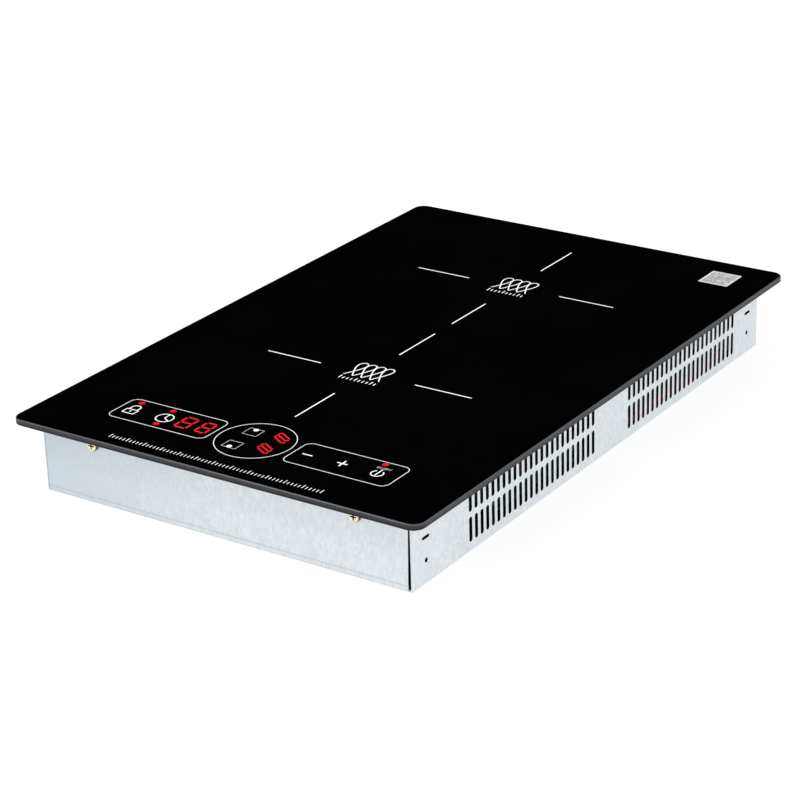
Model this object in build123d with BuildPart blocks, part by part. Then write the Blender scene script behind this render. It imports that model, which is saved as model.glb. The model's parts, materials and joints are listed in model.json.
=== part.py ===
from build123d import *
import math
import os

os.makedirs("parts", exist_ok=True)

# Built-in induction cooktop with two zones, one behind the other.
# Millimetres, +Z up, +Y to the rear. The origin is the centre of the tray's resting face.

# ---------------------------------------------------------------- driving dimensions

# Glass plate
glass_width = 300.0
glass_depth = 457.0
glass_thickness = 4.0
glass_corner_radius = 8.0
glass_bevel = 0.5             # ground bevel round the upper edge
glass_edge_break = 0.4        # small bevel round the lower edge

# Sheet-metal tray
body_height = 47.2            # resting face to the underside of the glass
side_overhang = 14.0          # glass beyond the tray's side walls
end_overhang = 13.5           # glass beyond the tray's front and rear walls
sheet = 0.8
fold_radius = 1.2             # outside radius of the folds round the base
rim_gap = 0.5                 # the walls stop this far under the glass
seam_top = 1.0                # open corner seams, wider towards the base
seam_bottom = 2.1
closed_seam = 0.2             # the other corner seams

# Vent slots in the side walls
vent_width = 3.3
vent_length = 16.0
vent_pitch = 6.2
vent_count = 24
vent_row_gap = 3.4
vent_bottom = 6.3             # lower row above the resting face
front_vent_inset = 60.5       # first slot of the front group, from the front wall
rear_vent_inset = 35.0        # last slot of the rear group, from the rear wall

# Slots and holes for the worktop clips, near each end of the side walls
clip_inset = 14.8
clip_hole_diameter = 3.0
clip_hole_height = 14.9
clip_slot_length = 7.6
clip_slot_width = 2.0
clip_slot_height = 29.5

# Top frame, silicone bead and cover screws
bead_thickness = 1.0
bead_width = 6.0
bead_inset = 3.0              # bead from the frame's outer edge
frame_flange = 12.0
frame_leg = 3.4
frame_side_gap = 0.2
tab_width = 16.0
tab_reach = 6.0               # tab beyond its screw
cover_screw_left = -95.8
cover_screw_right = 98.2
cover_screw_drop = 7.3        # screws under the glass
cover_screw_length = 6.0

# Screws: M4 for the cover, fans and earth, M3 for the boards
m4_diameter = 4.0
m4_head_diameter = 7.5
m4_head_height = 2.4
m3_diameter = 3.0
m3_head_diameter = 5.6
m3_head_height = 1.8
recess_width = 0.9            # Phillips recess
recess_depth = 1.3
recess_ratio = 0.6            # recess span over head diameter
recess_core = 2.0             # recess width where the arms meet, over the arms' width
thread_fit = 0.05             # radial, screw or spigot in its own hole
clear_fit = 0.25              # radial, screw in a clearance hole

# Cooling fans, lying flat on the base
fan_size = 80.0
fan_height = 15.0
fan_bore = 76.0
fan_wall = 1.4
fan_flange = 3.0
fan_corner_radius = 4.0
fan_hole_spacing = 71.5
fan_wall_gap = 7.2            # fan and boards from the side walls
fan_board_gap = 8.0
strut_width = 3.0
strut_thickness = 2.0
motor_plate_diameter = 34.0
bearing_tube_diameter = 7.0
fan_shaft_diameter = 3.0
shaft_fit = 0.05              # radial running clearance of the shaft
shaft_end_gap = 0.3
stator_diameter = 22.0
stator_fit = 0.1
stator_slot = 3.0
hub_diameter = 32.0
hub_wall = 1.5
impeller_gap = 1.0            # radial, blade tips to the frame's bore
impeller_lift = 1.2           # hub and blades above the struts
blade_count = 7
blade_thickness = 1.2
blade_root_pitch = 48.0       # degrees from the plane of rotation
blade_tip_pitch = 32.0
grille_bridge = 6.0           # solid bar across the middle of each base grille
grille_margin = 2.0           # grille inside the fan's bore

# Coils and what carries them
front_space = 72.8            # tray's front wall to the front carrier
rear_space = 19.2             # rear carrier to the tray's rear wall
carrier_gap = 16.4            # between the two carriers
carrier_rim = 2.0             # carrier beyond the winding
carrier_floor = 1.6
carrier_wall = 1.5
carrier_wall_height = 2.4
litz_pitch = 3.0
winding_height = 4.0
winding_hole_radius = 24.0
insulator_thickness = 0.8
ferrite_count = 8
ferrite_width = 9.0
ferrite_thickness = 4.6
ferrite_end_gap = 4.0         # ferrite ends inside the winding's edges
pocket_lip = 1.2
pocket_depth = 2.5
pocket_fit = 0.15
window_width = 12.0
sensor_radius = 6.0
sensor_flange_radius = 9.0
sensor_flange = 1.0
sensor_tail = 5.0
sensor_fit = 0.2
ear_radius = 7.0
ear_reach = 7.7               # post axis beyond the carrier's edge
ear_thickness = 3.0
post_diameter = 8.0
post_foot_diameter = 12.0
post_foot = 2.0
post_pin_diameter = 4.0
spigot_diameter = 5.0
spring_length = 9.6
spring_wire = 0.9
spring_radius = 3.3
spring_turns = 4

# Power boards
board_thickness = 1.6
spacer_height = 6.0
spacer_diameter = 6.0
board_post_gap = 4.0          # board's edge to the post feet
board_hole_inset = 6.0
component_bay = 76.0          # right-hand part of the board, beside the heatsink
board_edge_gap = 6.0
device_width = 14.0
device_depth = 20.0
device_thickness = 5.0
device_count = 3
device_leg = 1.0
device_leg_length = 4.0
heatsink_width = 48.0
heatsink_floor = 4.0
heatsink_foot = 4.0
heatsink_coil_gap = 4.0       # fin tips to the ferrites
fin_count = 9
fin_thickness = 1.4
film_capacitor_width = 30.0
film_capacitor_depth = 16.0
film_capacitor_height = 20.0
link_capacitor_depth = 12.0
drum_capacitor_diameter = 12.0
drum_capacitor_height = 20.0
capacitor_gap = 4.0
capacitor_edge = 1.0          # rounded edges of the capacitors
choke_radius = 11.0
choke_core_width = 7.0
choke_core_height = 10.0
choke_wire = 1.4
choke_turns = 14
lug_width = 8.0               # coil-lead terminals on the board
lug_height = 7.0
lug_inset = 8.0

# Leads
lead_diameter = 3.0
lead_gap = 0.2                # lead's end to its terminal
lead_spacing = 4.5
harness_diameter = 4.0
socket_length = 12.0          # harness sockets on the boards
socket_depth = 6.0
socket_height = 6.0

# Mains entry
gland_inset = 35.0            # gland from the tray's right side
gland_height = 16.0
gland_thread_diameter = 16.0
gland_across_flats = 22.0
gland_hex = 4.0
gland_cap = 6.0
gland_cap_diameter = 18.0
gland_bore = 9.0
gland_inner_length = 7.0
lock_nut = 4.0
terminal_width = 46.0
terminal_depth = 20.0
terminal_height = 16.0
terminal_wall_gap = 12.0
terminal_poles = 3
terminal_well = 6.0           # depth of the screw wells
terminal_well_diameter = 7.0
terminal_edge = 1.0
earth_offset = 28.0           # earth screw to the left of the terminal block
earth_wall_gap = 14.0

# Filter board between the two power boards
filter_width = 100.0
filter_depth = 40.0
filter_choke_radius = 10.0
filter_capacitor_width = 26.0
filter_capacitor_depth = 10.0
filter_capacitor_height = 18.0
fuse_length = 20.0
fuse_diameter = 5.2
fuse_cap_length = 5.0
fuse_cap_wall = 0.4
fuse_lift = 2.0
fuse_clip = 2.0

# Controls under the front of the glass
bracket_width = 228.0
bracket_depth = 54.0
bracket_wall_gap = 6.2
bracket_wall = 1.6
bracket_leg_diameter = 8.0
bracket_leg_inset = 8.0
boss_height = 2.4
boss_diameter = 6.0
boss_inset = 24.0
control_board_fit = 0.4
control_socket_gap = 2.0      # harness socket from the control board's end
display_height = 8.0          # control board to the glass
display_gap = 0.2
display_edge = 0.4
timer_display_x = -44.1
timer_display_width = 34.0
timer_display_depth = 22.0
zone_display_x = 12.9
zone_display_width = 16.0
zone_display_depth = 15.0
zone_display_pitch = 17.1
zone_display_offset = 3.1     # behind the key row
light_diameter = 4.6
touch_pad_diameter = 9.0
zone_key_x = -7.5
zone_key_pitch = 20.8
lock_key_x = -92.4
timer_key_x = -67.5
minus_key_x = 39.8
plus_key_x = 65.2
power_key_x = 90.4
lock_light_shift = -1.8       # lights beside their keys
lock_light_offset = 10.6      # lights behind the key row
timer_light_shift = -1.8
timer_light_offset = 11.0
timer_lower_light_shift = 1.0
timer_lower_light_offset = -9.5
power_light_shift = -2.8
power_light_offset = 12.0
buzzer_x = -18.8
buzzer_offset = 16.0
buzzer_diameter = 12.0
buzzer_height = 6.0
buzzer_port = 2.0

# ---------------------------------------------------------------- derived places

body_width = glass_width - 2 * side_overhang
body_depth = glass_depth - 2 * end_overhang
gland_x = body_width / 2 - gland_inset
inner_x = body_width / 2 - sheet
inner_y = body_depth / 2 - sheet
wall_top = body_height - rim_gap

frame_top = body_height - bead_thickness
cover_screw_height = body_height - cover_screw_drop

carrier_radius = (2 * inner_y - front_space - carrier_gap - rear_space) / 4
coil_radius = carrier_radius - carrier_rim
front_zone_y = -inner_y + front_space + carrier_radius
rear_zone_y = inner_y - rear_space - carrier_radius
zones = (("front", front_zone_y), ("rear", rear_zone_y))

winding_top = body_height - insulator_thickness
carrier_top = winding_top - winding_height
carrier_bottom = carrier_top - carrier_floor
ferrite_bottom = carrier_bottom - ferrite_thickness
ear_bottom = carrier_top - ear_thickness
post_shoulder = ear_bottom - spring_length
post_radius = carrier_radius + ear_reach
post_offset = post_radius * math.cos(math.radians(45))
litz_turns = int((coil_radius - winding_hole_radius) / litz_pitch)
winding_inner_radius = coil_radius - litz_turns * litz_pitch
ferrite_length = coil_radius - winding_inner_radius - 2 * ferrite_end_gap
ferrite_mid_radius = (coil_radius + winding_inner_radius) / 2

fan_x = -inner_x + fan_wall_gap + fan_size / 2
fan_bottom = sheet
fan_top = fan_bottom + fan_height
impeller_radius = fan_bore / 2 - impeller_gap
impeller_bottom = fan_bottom + strut_thickness + impeller_lift

board_left = fan_x + fan_size / 2 + fan_board_gap
board_right = inner_x - fan_wall_gap
board_width = board_right - board_left
board_x = (board_left + board_right) / 2
board_depth = 2 * (post_offset - post_foot_diameter / 2 - board_post_gap)
board_bottom = sheet + spacer_height
board_top = board_bottom + board_thickness
heatsink_left = board_left + board_edge_gap
heatsink_length = board_width - component_bay - 2 * board_edge_gap
heatsink_bottom = board_top + device_thickness
fin_height = ferrite_bottom - heatsink_coil_gap - heatsink_bottom - heatsink_floor
bay_left = board_right - component_bay

filter_y = (front_zone_y + rear_zone_y) / 2
control_y = -inner_y + bracket_wall_gap + bracket_depth / 2
control_board_top = body_height - display_height
control_board_bottom = control_board_top - board_thickness
bracket_floor_top = control_board_bottom - boss_height
bracket_bottom = bracket_floor_top - bracket_wall
control_board_width = bracket_width - 2 * (bracket_wall + control_board_fit)
control_board_depth = bracket_depth - 2 * (bracket_wall + control_board_fit)
terminal_y = inner_y - terminal_wall_gap - terminal_depth / 2
earth_x = gland_x - terminal_width / 2 - earth_offset
earth_y = inner_y - earth_wall_gap


def level(z, x=0.0, y=0.0):
    """Horizontal plane at height z, centred on x and y."""
    return Plane(origin=(x, y, z))


def corner_places(x, y, half_width, half_depth):
    """The four corners of a rectangle centred on x and y."""
    return [(x + i * half_width, y + j * half_depth) for j in (-1, 1) for i in (-1, 1)]


front_face = Plane(origin=(0, -body_depth / 2, 0), x_dir=(1, 0, 0), z_dir=(0, -1, 0))
rear_face = Plane(origin=(0, body_depth / 2, 0), x_dir=(-1, 0, 0), z_dir=(0, 1, 0))
right_face = Plane(origin=(body_width / 2, 0, 0), x_dir=(0, 1, 0), z_dir=(1, 0, 0))

fan_places = [(fan_x, zone_y) for name, zone_y in zones]
fan_hole_places = [
    place
    for x, y in fan_places
    for place in corner_places(x, y, fan_hole_spacing / 2, fan_hole_spacing / 2)
]
post_places = [place for name, y in zones for place in corner_places(0, y, post_offset, post_offset)]
power_board_holes = [
    place
    for name, y in zones
    for place in corner_places(
        board_x, y, board_width / 2 - board_hole_inset, board_depth / 2 - board_hole_inset
    )
]
filter_board_holes = corner_places(
    0, filter_y, filter_width / 2 - board_hole_inset, filter_depth / 2 - board_hole_inset
)
spacer_places = power_board_holes + filter_board_holes
leg_places = corner_places(
    0, control_y, bracket_width / 2 - bracket_leg_inset, bracket_depth / 2 - bracket_leg_inset
)
boss_places = corner_places(
    0, control_y, bracket_width / 2 - boss_inset, bracket_depth / 2 - bracket_leg_inset
)

# ---------------------------------------------------------------- glass and housing

# Black glass plate with rounded corners and a ground bevel.
with BuildPart() as glass_top:
    with BuildSketch(level(body_height)):
        RectangleRounded(glass_width, glass_depth, glass_corner_radius)
    extrude(amount=glass_thickness)
    chamfer(glass_top.edges().group_by(Axis.Z)[-1], glass_bevel)
    chamfer(glass_top.edges().group_by(Axis.Z)[0], glass_edge_break)
glass_top.part.label = "glass_top"
export_step(glass_top.part, "parts/glass_top.step")

# Tray folded from one sheet: base and four walls, with seams at the corners.
with BuildPart() as housing_tray:
    with BuildSketch():
        Rectangle(body_width, body_depth)
    extrude(amount=wall_top)
    fillet(housing_tray.edges().group_by(Axis.Z)[0], fold_radius)
    with BuildSketch(level(sheet)):
        Rectangle(2 * inner_x, 2 * inner_y)
    extrude(amount=wall_top, mode=Mode.SUBTRACT)
    fillet(housing_tray.edges().filter_by_position(Axis.Z, sheet, sheet), fold_radius - sheet)

    # Seen from outside, the front and rear walls meet the side wall on their left in a closed
    # seam, and stop short of the one on their right.
    for face in (front_face, rear_face):
        for side, bottom, top in ((-1, closed_seam, closed_seam), (1, seam_bottom, seam_top)):
            with BuildSketch(face):
                Polygon(
                    (side * inner_x, 0),
                    (side * (inner_x - bottom), 0),
                    (side * (inner_x - top), wall_top),
                    (side * inner_x, wall_top),
                    align=None,
                )
            extrude(amount=-sheet, mode=Mode.SUBTRACT)

    # Vent slots and clip openings go through both side walls.
    group_length = (vent_count - 1) * vent_pitch + vent_width
    row_pitch = vent_length + vent_row_gap
    row_middle = vent_bottom + (2 * vent_length + vent_row_gap) / 2
    with BuildSketch(right_face):
        with Locations(
            (-body_depth / 2 + front_vent_inset + group_length / 2, row_middle),
            (body_depth / 2 - rear_vent_inset - group_length / 2, row_middle),
        ):
            with GridLocations(vent_pitch, row_pitch, vent_count, 2):
                SlotOverall(vent_length, vent_width, rotation=90)
        clip_y = body_depth / 2 - clip_inset
        with Locations((-clip_y, clip_hole_height), (clip_y, clip_hole_height)):
            Circle(clip_hole_diameter / 2)
        with Locations((-clip_y, clip_slot_height), (clip_y, clip_slot_height)):
            SlotOverall(clip_slot_length, clip_slot_width)
    extrude(amount=-body_width, mode=Mode.SUBTRACT)

    # Holes for the cover screws go through the front and rear walls.
    with BuildSketch(front_face):
        with Locations((cover_screw_left, cover_screw_height), (cover_screw_right, cover_screw_height)):
            Circle(m4_diameter / 2 + clear_fit)
    extrude(amount=-body_depth, mode=Mode.SUBTRACT)
    with BuildSketch(rear_face):
        with Locations((-gland_x, gland_height)):
            Circle(gland_thread_diameter / 2 + thread_fit)
    extrude(amount=-sheet, mode=Mode.SUBTRACT)

    # Base: a slotted intake grille under each fan, and the holes of what stands on it.
    grille_radius = fan_bore / 2 - grille_margin
    columns = int((grille_radius - vent_width) / vent_pitch)
    with BuildSketch():
        for x, y in fan_places:
            for column in range(-columns, columns + 1):
                offset = column * vent_pitch
                length = math.sqrt(grille_radius**2 - offset**2) - grille_bridge / 2
                middle = (grille_bridge + length) / 2
                with Locations((x + offset, y - middle), (x + offset, y + middle)):
                    SlotOverall(length, vent_width, rotation=90)
        with Locations(*fan_hole_places, (earth_x, earth_y)):
            Circle(m4_diameter / 2 + thread_fit)
        with Locations(*post_places, *spacer_places, *leg_places):
            Circle(spigot_diameter / 2 + thread_fit)
    extrude(amount=sheet, mode=Mode.SUBTRACT)
housing_tray.part.label = "housing_tray"
export_step(housing_tray.part, "parts/housing_tray.step")

# Ring of angle section inside the tray's rim, with tabs that take the cover screws.
with BuildPart() as top_frame:
    frame_x = inner_x - frame_side_gap
    with BuildSketch(level(frame_top)):
        Rectangle(2 * frame_x, 2 * inner_y)
        Rectangle(2 * (frame_x - sheet), 2 * (inner_y - sheet), mode=Mode.SUBTRACT)
    extrude(amount=-frame_leg)
    with BuildSketch(level(frame_top)):
        Rectangle(2 * frame_x, 2 * inner_y)
        Rectangle(2 * (frame_x - frame_flange), 2 * (inner_y - frame_flange), mode=Mode.SUBTRACT)
    extrude(amount=-sheet)
    for end in (-1, 1):
        with BuildSketch(level(frame_top)):
            with Locations(
                (cover_screw_left, end * (inner_y - sheet / 2)),
                (cover_screw_right, end * (inner_y - sheet / 2)),
            ):
                Rectangle(tab_width, sheet)
        extrude(amount=-(frame_top - cover_screw_height + tab_reach))
    with BuildSketch(front_face):
        with Locations((cover_screw_left, cover_screw_height), (cover_screw_right, cover_screw_height)):
            Circle(m4_diameter / 2 + thread_fit)
    extrude(amount=-body_depth, mode=Mode.SUBTRACT)
top_frame.part.label = "top_frame"
export_step(top_frame.part, "parts/top_frame.step")

# Silicone bead that bonds the glass to the frame.
with BuildPart() as silicone_bead:
    bead_x = inner_x - frame_side_gap - bead_inset
    bead_y = inner_y - bead_inset
    with BuildSketch(level(frame_top)):
        RectangleRounded(2 * bead_x, 2 * bead_y, bead_width)
        Rectangle(2 * (bead_x - bead_width), 2 * (bead_y - bead_width), mode=Mode.SUBTRACT)
    extrude(amount=bead_thickness)
silicone_bead.part.label = "silicone_bead"
export_step(silicone_bead.part, "parts/silicone_bead.step")

# ---------------------------------------------------------------- screws


def pan_screw(diameter, head_diameter, head_height, length):
    """Phillips pan-head screw: seat at the origin, shank down, head up."""
    with BuildPart() as screw:
        with BuildSketch():
            Circle(head_diameter / 2)
        extrude(amount=head_height)
        fillet(screw.edges().group_by(Axis.Z)[-1], head_height / 2)
        with BuildSketch():
            Circle(diameter / 2)
        extrude(amount=-length)
        with BuildSketch(level(head_height)):
            Rectangle(head_diameter * recess_ratio, recess_width)
            Rectangle(recess_width, head_diameter * recess_ratio)
            Rectangle(recess_width * recess_core, recess_width * recess_core, rotation=45)
        extrude(amount=-recess_depth, mode=Mode.SUBTRACT)
    return screw.part


cover_screw = pan_screw(m4_diameter, m4_head_diameter, m4_head_height, cover_screw_length)
fan_screw = pan_screw(m4_diameter, m4_head_diameter, m4_head_height, fan_height + sheet)
board_screw = pan_screw(m3_diameter, m3_head_diameter, m3_head_height, board_thickness + boss_height / 2)

# Two screws in the front wall and two in the rear wall hold the top frame.
with BuildPart() as cover_screws:
    for face, turn in ((front_face, 1), (rear_face, -1)):     # X runs the other way on the rear face
        with Locations(face):
            with Locations(
                (turn * cover_screw_left, cover_screw_height),
                (turn * cover_screw_right, cover_screw_height),
            ):
                add(cover_screw)
cover_screws.part.label = "cover_screws"
export_step(cover_screws.part, "parts/cover_screws.step")

# Long screws through both fan flanges into the base.
with BuildPart() as fan_screws:
    with Locations(*[(x, y, fan_top) for x, y in fan_hole_places]):
        add(fan_screw)
fan_screws.part.label = "fan_screws"
export_step(fan_screws.part, "parts/fan_screws.step")

with BuildPart() as board_screws:
    with Locations(*[(x, y, board_top) for x, y in spacer_places]):
        add(board_screw)
    with Locations(*[(x, y, control_board_top) for x, y in boss_places]):
        add(board_screw)
board_screws.part.label = "board_screws"
export_step(board_screws.part, "parts/board_screws.step")

# Threaded spacers riveted into the base carry the power boards and the filter board.
with BuildPart() as board_spacers:
    with BuildSketch():
        with Locations(*spacer_places):
            Circle(spigot_diameter / 2)
    extrude(amount=sheet)
    with BuildSketch(level(sheet)):
        with Locations(*spacer_places):
            Circle(spacer_diameter / 2)
    extrude(amount=spacer_height)
    with BuildSketch(level(board_bottom)):
        with Locations(*spacer_places):
            Circle(m3_diameter / 2 + thread_fit)
    extrude(amount=-spacer_height / 2, mode=Mode.SUBTRACT)
board_spacers.part.label = "board_spacers"
export_step(board_spacers.part, "parts/board_spacers.step")

# ---------------------------------------------------------------- coils, one set per zone

for zone, zone_y in zones:
    zone_axis = Axis((0, zone_y, 0), (0, 0, 1))
    zone_section = Plane(origin=(0, zone_y, 0), x_dir=(1, 0, 0), z_dir=(0, -1, 0))

    # Flat litz winding: flat below, one rounded crest for each turn above.
    with BuildPart() as coil_winding:
        with BuildSketch(zone_section):
            with BuildLine():
                crest_foot = winding_top - litz_pitch / 2
                Polyline(
                    (winding_inner_radius, crest_foot),
                    (winding_inner_radius, carrier_top),
                    (coil_radius, carrier_top),
                    (coil_radius, crest_foot),
                )
                for turn in range(litz_turns):
                    start = winding_inner_radius + turn * litz_pitch
                    ThreePointArc(
                        (start, crest_foot),
                        (start + litz_pitch / 2, winding_top),
                        (start + litz_pitch, crest_foot),
                    )
            make_face()
        revolve(axis=zone_axis)
    coil_winding.part.label = f"{zone}_coil_winding"
    export_step(coil_winding.part, f"parts/{zone}_coil_winding.step")

    # Insulating sheet between the winding and the glass.
    with BuildPart() as coil_insulator:
        with BuildSketch(level(winding_top, 0, zone_y)):
            Circle(coil_radius)
            Circle(sensor_radius + pocket_lip, mode=Mode.SUBTRACT)
        extrude(amount=insulator_thickness)
    coil_insulator.part.label = f"{zone}_coil_insulator"
    export_step(coil_insulator.part, f"parts/{zone}_coil_insulator.step")

    # Moulded carrier: floor with windows, rim wall, ferrite pockets below and four ears.
    with BuildPart() as coil_carrier:
        with BuildSketch(level(carrier_bottom, 0, zone_y)):
            Circle(carrier_radius)
            Circle(sensor_radius + sensor_fit, mode=Mode.SUBTRACT)
            with PolarLocations(ferrite_mid_radius, ferrite_count):
                SlotOverall(ferrite_length * recess_ratio, window_width, mode=Mode.SUBTRACT)
        extrude(amount=carrier_floor)
        with BuildSketch(level(carrier_top, 0, zone_y)):
            Circle(carrier_radius)
            Circle(carrier_radius - carrier_wall, mode=Mode.SUBTRACT)
            with Locations((carrier_radius, 0)):
                Rectangle(2 * carrier_rim + carrier_wall, 2 * lead_spacing, mode=Mode.SUBTRACT)
        extrude(amount=carrier_wall_height)
        with BuildSketch(level(ear_bottom, 0, zone_y)):
            with PolarLocations(post_radius, 4, start_angle=45):
                Circle(ear_radius)
            with PolarLocations(carrier_radius, 4, start_angle=45):
                Rectangle(2 * ear_reach, 2 * ear_radius)
        extrude(amount=ear_thickness)
        with BuildSketch(level(carrier_bottom, 0, zone_y)):
            half_step = 180 / ferrite_count
            with PolarLocations(ferrite_mid_radius, ferrite_count, start_angle=half_step):
                Rectangle(
                    ferrite_length + 2 * (pocket_fit + pocket_lip),
                    ferrite_width + 2 * (pocket_fit + pocket_lip),
                )
                Rectangle(
                    ferrite_length + 2 * pocket_fit, ferrite_width + 2 * pocket_fit, mode=Mode.SUBTRACT
                )
        extrude(amount=-pocket_depth)
        with BuildSketch(level(ear_bottom, 0, zone_y)):
            with PolarLocations(post_radius, 4, start_angle=45):
                Circle(post_pin_diameter / 2 + clear_fit)
        extrude(amount=ear_thickness, mode=Mode.SUBTRACT)
    coil_carrier.part.label = f"{zone}_coil_carrier"
    export_step(coil_carrier.part, f"parts/{zone}_coil_carrier.step")

    with BuildPart() as ferrite_bars:
        with BuildSketch(level(carrier_bottom, 0, zone_y)):
            with PolarLocations(ferrite_mid_radius, ferrite_count, start_angle=180 / ferrite_count):
                Rectangle(ferrite_length, ferrite_width)
        extrude(amount=-ferrite_thickness)
    ferrite_bars.part.label = f"{zone}_ferrite_bars"
    export_step(ferrite_bars.part, f"parts/{zone}_ferrite_bars.step")

    # Pan temperature sensor in the middle of the coil, in a flanged rubber holder.
    with BuildPart() as pan_sensor:
        with BuildSketch(zone_section):
            Polygon(
                (0, carrier_bottom - sensor_tail),
                (sensor_radius, carrier_bottom - sensor_tail),
                (sensor_radius, carrier_top),
                (sensor_flange_radius, carrier_top),
                (sensor_flange_radius, carrier_top + sensor_flange),
                (sensor_radius, carrier_top + sensor_flange),
                (sensor_radius, body_height),
                (0, body_height),
                align=None,
            )
        revolve(axis=zone_axis)
    pan_sensor.part.label = f"{zone}_pan_sensor"
    export_step(pan_sensor.part, f"parts/{zone}_pan_sensor.step")

# Posts on the base: foot, column with a shoulder for the spring, and a guide pin.
with BuildPart() as carrier_posts:
    for radius, bottom, top in (
        (spigot_diameter / 2, 0, sheet),
        (post_foot_diameter / 2, sheet, sheet + post_foot),
        (post_diameter / 2, sheet + post_foot, post_shoulder),
        (post_pin_diameter / 2, post_shoulder, carrier_top),
    ):
        with BuildSketch(level(bottom)):
            with Locations(*post_places):
                Circle(radius)
        extrude(amount=top - bottom)
carrier_posts.part.label = "carrier_posts"
export_step(carrier_posts.part, "parts/carrier_posts.step")

# Compression spring between the post's shoulder and the carrier's ear.
with BuildPart() as spring_form:
    coil_rise = spring_length - spring_wire
    with BuildLine() as spring_line:
        Helix(pitch=coil_rise / spring_turns, height=coil_rise, radius=spring_radius)
    with BuildSketch(Plane(spring_line.line @ 0, z_dir=spring_line.line % 0)):
        Circle(spring_wire / 2)
    sweep(is_frenet=True)

with BuildPart() as carrier_springs:
    with Locations(*[(x, y, post_shoulder + spring_wire / 2) for x, y in post_places]):
        add(spring_form.part)
carrier_springs.part.label = "carrier_springs"
export_step(carrier_springs.part, "parts/carrier_springs.step")

# ---------------------------------------------------------------- cooling fans

for zone, zone_y in zones:
    fan_axis = Axis((fan_x, zone_y, 0), (0, 0, 1))

    # Square frame: a tube between two flanges, struts, motor plate and bearing tube.
    with BuildPart() as fan_frame:
        with BuildSketch(level(fan_bottom, fan_x, zone_y)):
            Circle(fan_bore / 2 + fan_wall)
        extrude(amount=fan_height)
        for flange_bottom in (fan_bottom, fan_top - fan_flange):
            with BuildSketch(level(flange_bottom, fan_x, zone_y)):
                RectangleRounded(fan_size, fan_size, fan_corner_radius)
                with GridLocations(fan_hole_spacing, fan_hole_spacing, 2, 2):
                    Circle(m4_diameter / 2 + clear_fit, mode=Mode.SUBTRACT)
            extrude(amount=fan_flange)
        with BuildSketch(level(fan_bottom, fan_x, zone_y)):
            Circle(fan_bore / 2)
        extrude(amount=fan_height, mode=Mode.SUBTRACT)
        with BuildSketch(level(fan_bottom, fan_x, zone_y)):
            Circle(motor_plate_diameter / 2)
            Rectangle(fan_bore + fan_wall, strut_width)
            Rectangle(strut_width, fan_bore + fan_wall)
        extrude(amount=strut_thickness)
        tube_top = fan_top - hub_wall - impeller_lift - shaft_end_gap
        with BuildSketch(level(fan_bottom + strut_thickness, fan_x, zone_y)):
            Circle(bearing_tube_diameter / 2)
            Circle(fan_shaft_diameter / 2 + shaft_fit, mode=Mode.SUBTRACT)
        extrude(amount=tube_top - fan_bottom - strut_thickness)
    fan_frame.part.label = f"{zone}_fan_frame"
    export_step(fan_frame.part, f"parts/{zone}_fan_frame.step")

    # Wound stator pressed round the bearing tube.
    with BuildPart() as fan_stator:
        with BuildSketch(level(fan_bottom + strut_thickness, fan_x, zone_y)):
            Circle(stator_diameter / 2)
            with PolarLocations(stator_diameter / 2, 4, start_angle=45):
                Rectangle(stator_slot * 2, stator_slot, mode=Mode.SUBTRACT)
            Circle(bearing_tube_diameter / 2 + stator_fit, mode=Mode.SUBTRACT)
        extrude(amount=tube_top - fan_bottom - strut_thickness - shaft_end_gap)
    fan_stator.part.label = f"{zone}_fan_stator"
    export_step(fan_stator.part, f"parts/{zone}_fan_stator.step")

    # Impeller: hub cup over the stator, shaft, and twisted blades trimmed to a cylinder.
    with BuildPart() as fan_impeller:
        hub_top = fan_top - impeller_lift
        blade_rise = hub_top - impeller_bottom
        for step in range(blade_count):
            turn = Rot(0, 0, step * 360 / blade_count)
            root_radius = hub_diameter / 2 - hub_wall
            for radius, pitch in (
                (root_radius, blade_root_pitch),
                (impeller_radius + hub_wall, blade_tip_pitch),
            ):
                chord = (blade_rise - blade_thickness) / math.sin(math.radians(pitch))
                station = Plane(origin=(radius, 0, 0), x_dir=(0, 1, 0), z_dir=(1, 0, 0))
                spot = Location((fan_x, zone_y, (hub_top + impeller_bottom) / 2)) * turn
                with BuildSketch(Plane(spot * station.location)):
                    Rectangle(chord, blade_thickness, rotation=pitch)
            loft()
        with BuildSketch(level(impeller_bottom, fan_x, zone_y)):
            Circle(impeller_radius)
        extrude(amount=blade_rise, mode=Mode.INTERSECT)
        with BuildSketch(level(impeller_bottom, fan_x, zone_y)):
            Circle(hub_diameter / 2)
        extrude(amount=blade_rise)
        with BuildSketch(level(impeller_bottom, fan_x, zone_y)):
            Circle(hub_diameter / 2 - hub_wall)
        extrude(amount=blade_rise - hub_wall, mode=Mode.SUBTRACT)
        with BuildSketch(level(hub_top - hub_wall, fan_x, zone_y)):
            Circle(fan_shaft_diameter / 2)
        extrude(amount=-(hub_top - hub_wall - fan_bottom - strut_thickness - shaft_end_gap))
    fan_impeller.part.label = f"{zone}_fan_impeller"
    export_step(fan_impeller.part, f"parts/{zone}_fan_impeller.step")

# ---------------------------------------------------------------- power boards, one set per zone


def wound_ring(radius, core_width, core_height, wire, turns):
    """Ring core standing on the origin plane, with evenly spaced turns of wire round it."""
    with BuildPart() as wrap:
        middle = (0, 0, wire + core_height / 2)
        with BuildSketch(Plane(origin=middle, x_dir=(1, 0, 0), z_dir=(0, -1, 0))):
            Rectangle(core_width + 2 * wire, core_height + 2 * wire)
            Rectangle(core_width - wire, core_height - wire, mode=Mode.SUBTRACT)
        extrude(amount=wire / 2, both=True)
    with BuildPart() as ring:
        with BuildSketch(level(wire)):
            Circle(radius + core_width / 2)
            Circle(radius - core_width / 2, mode=Mode.SUBTRACT)
        extrude(amount=core_height)
        with PolarLocations(radius, turns):
            add(wrap.part)
    return ring.part


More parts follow.
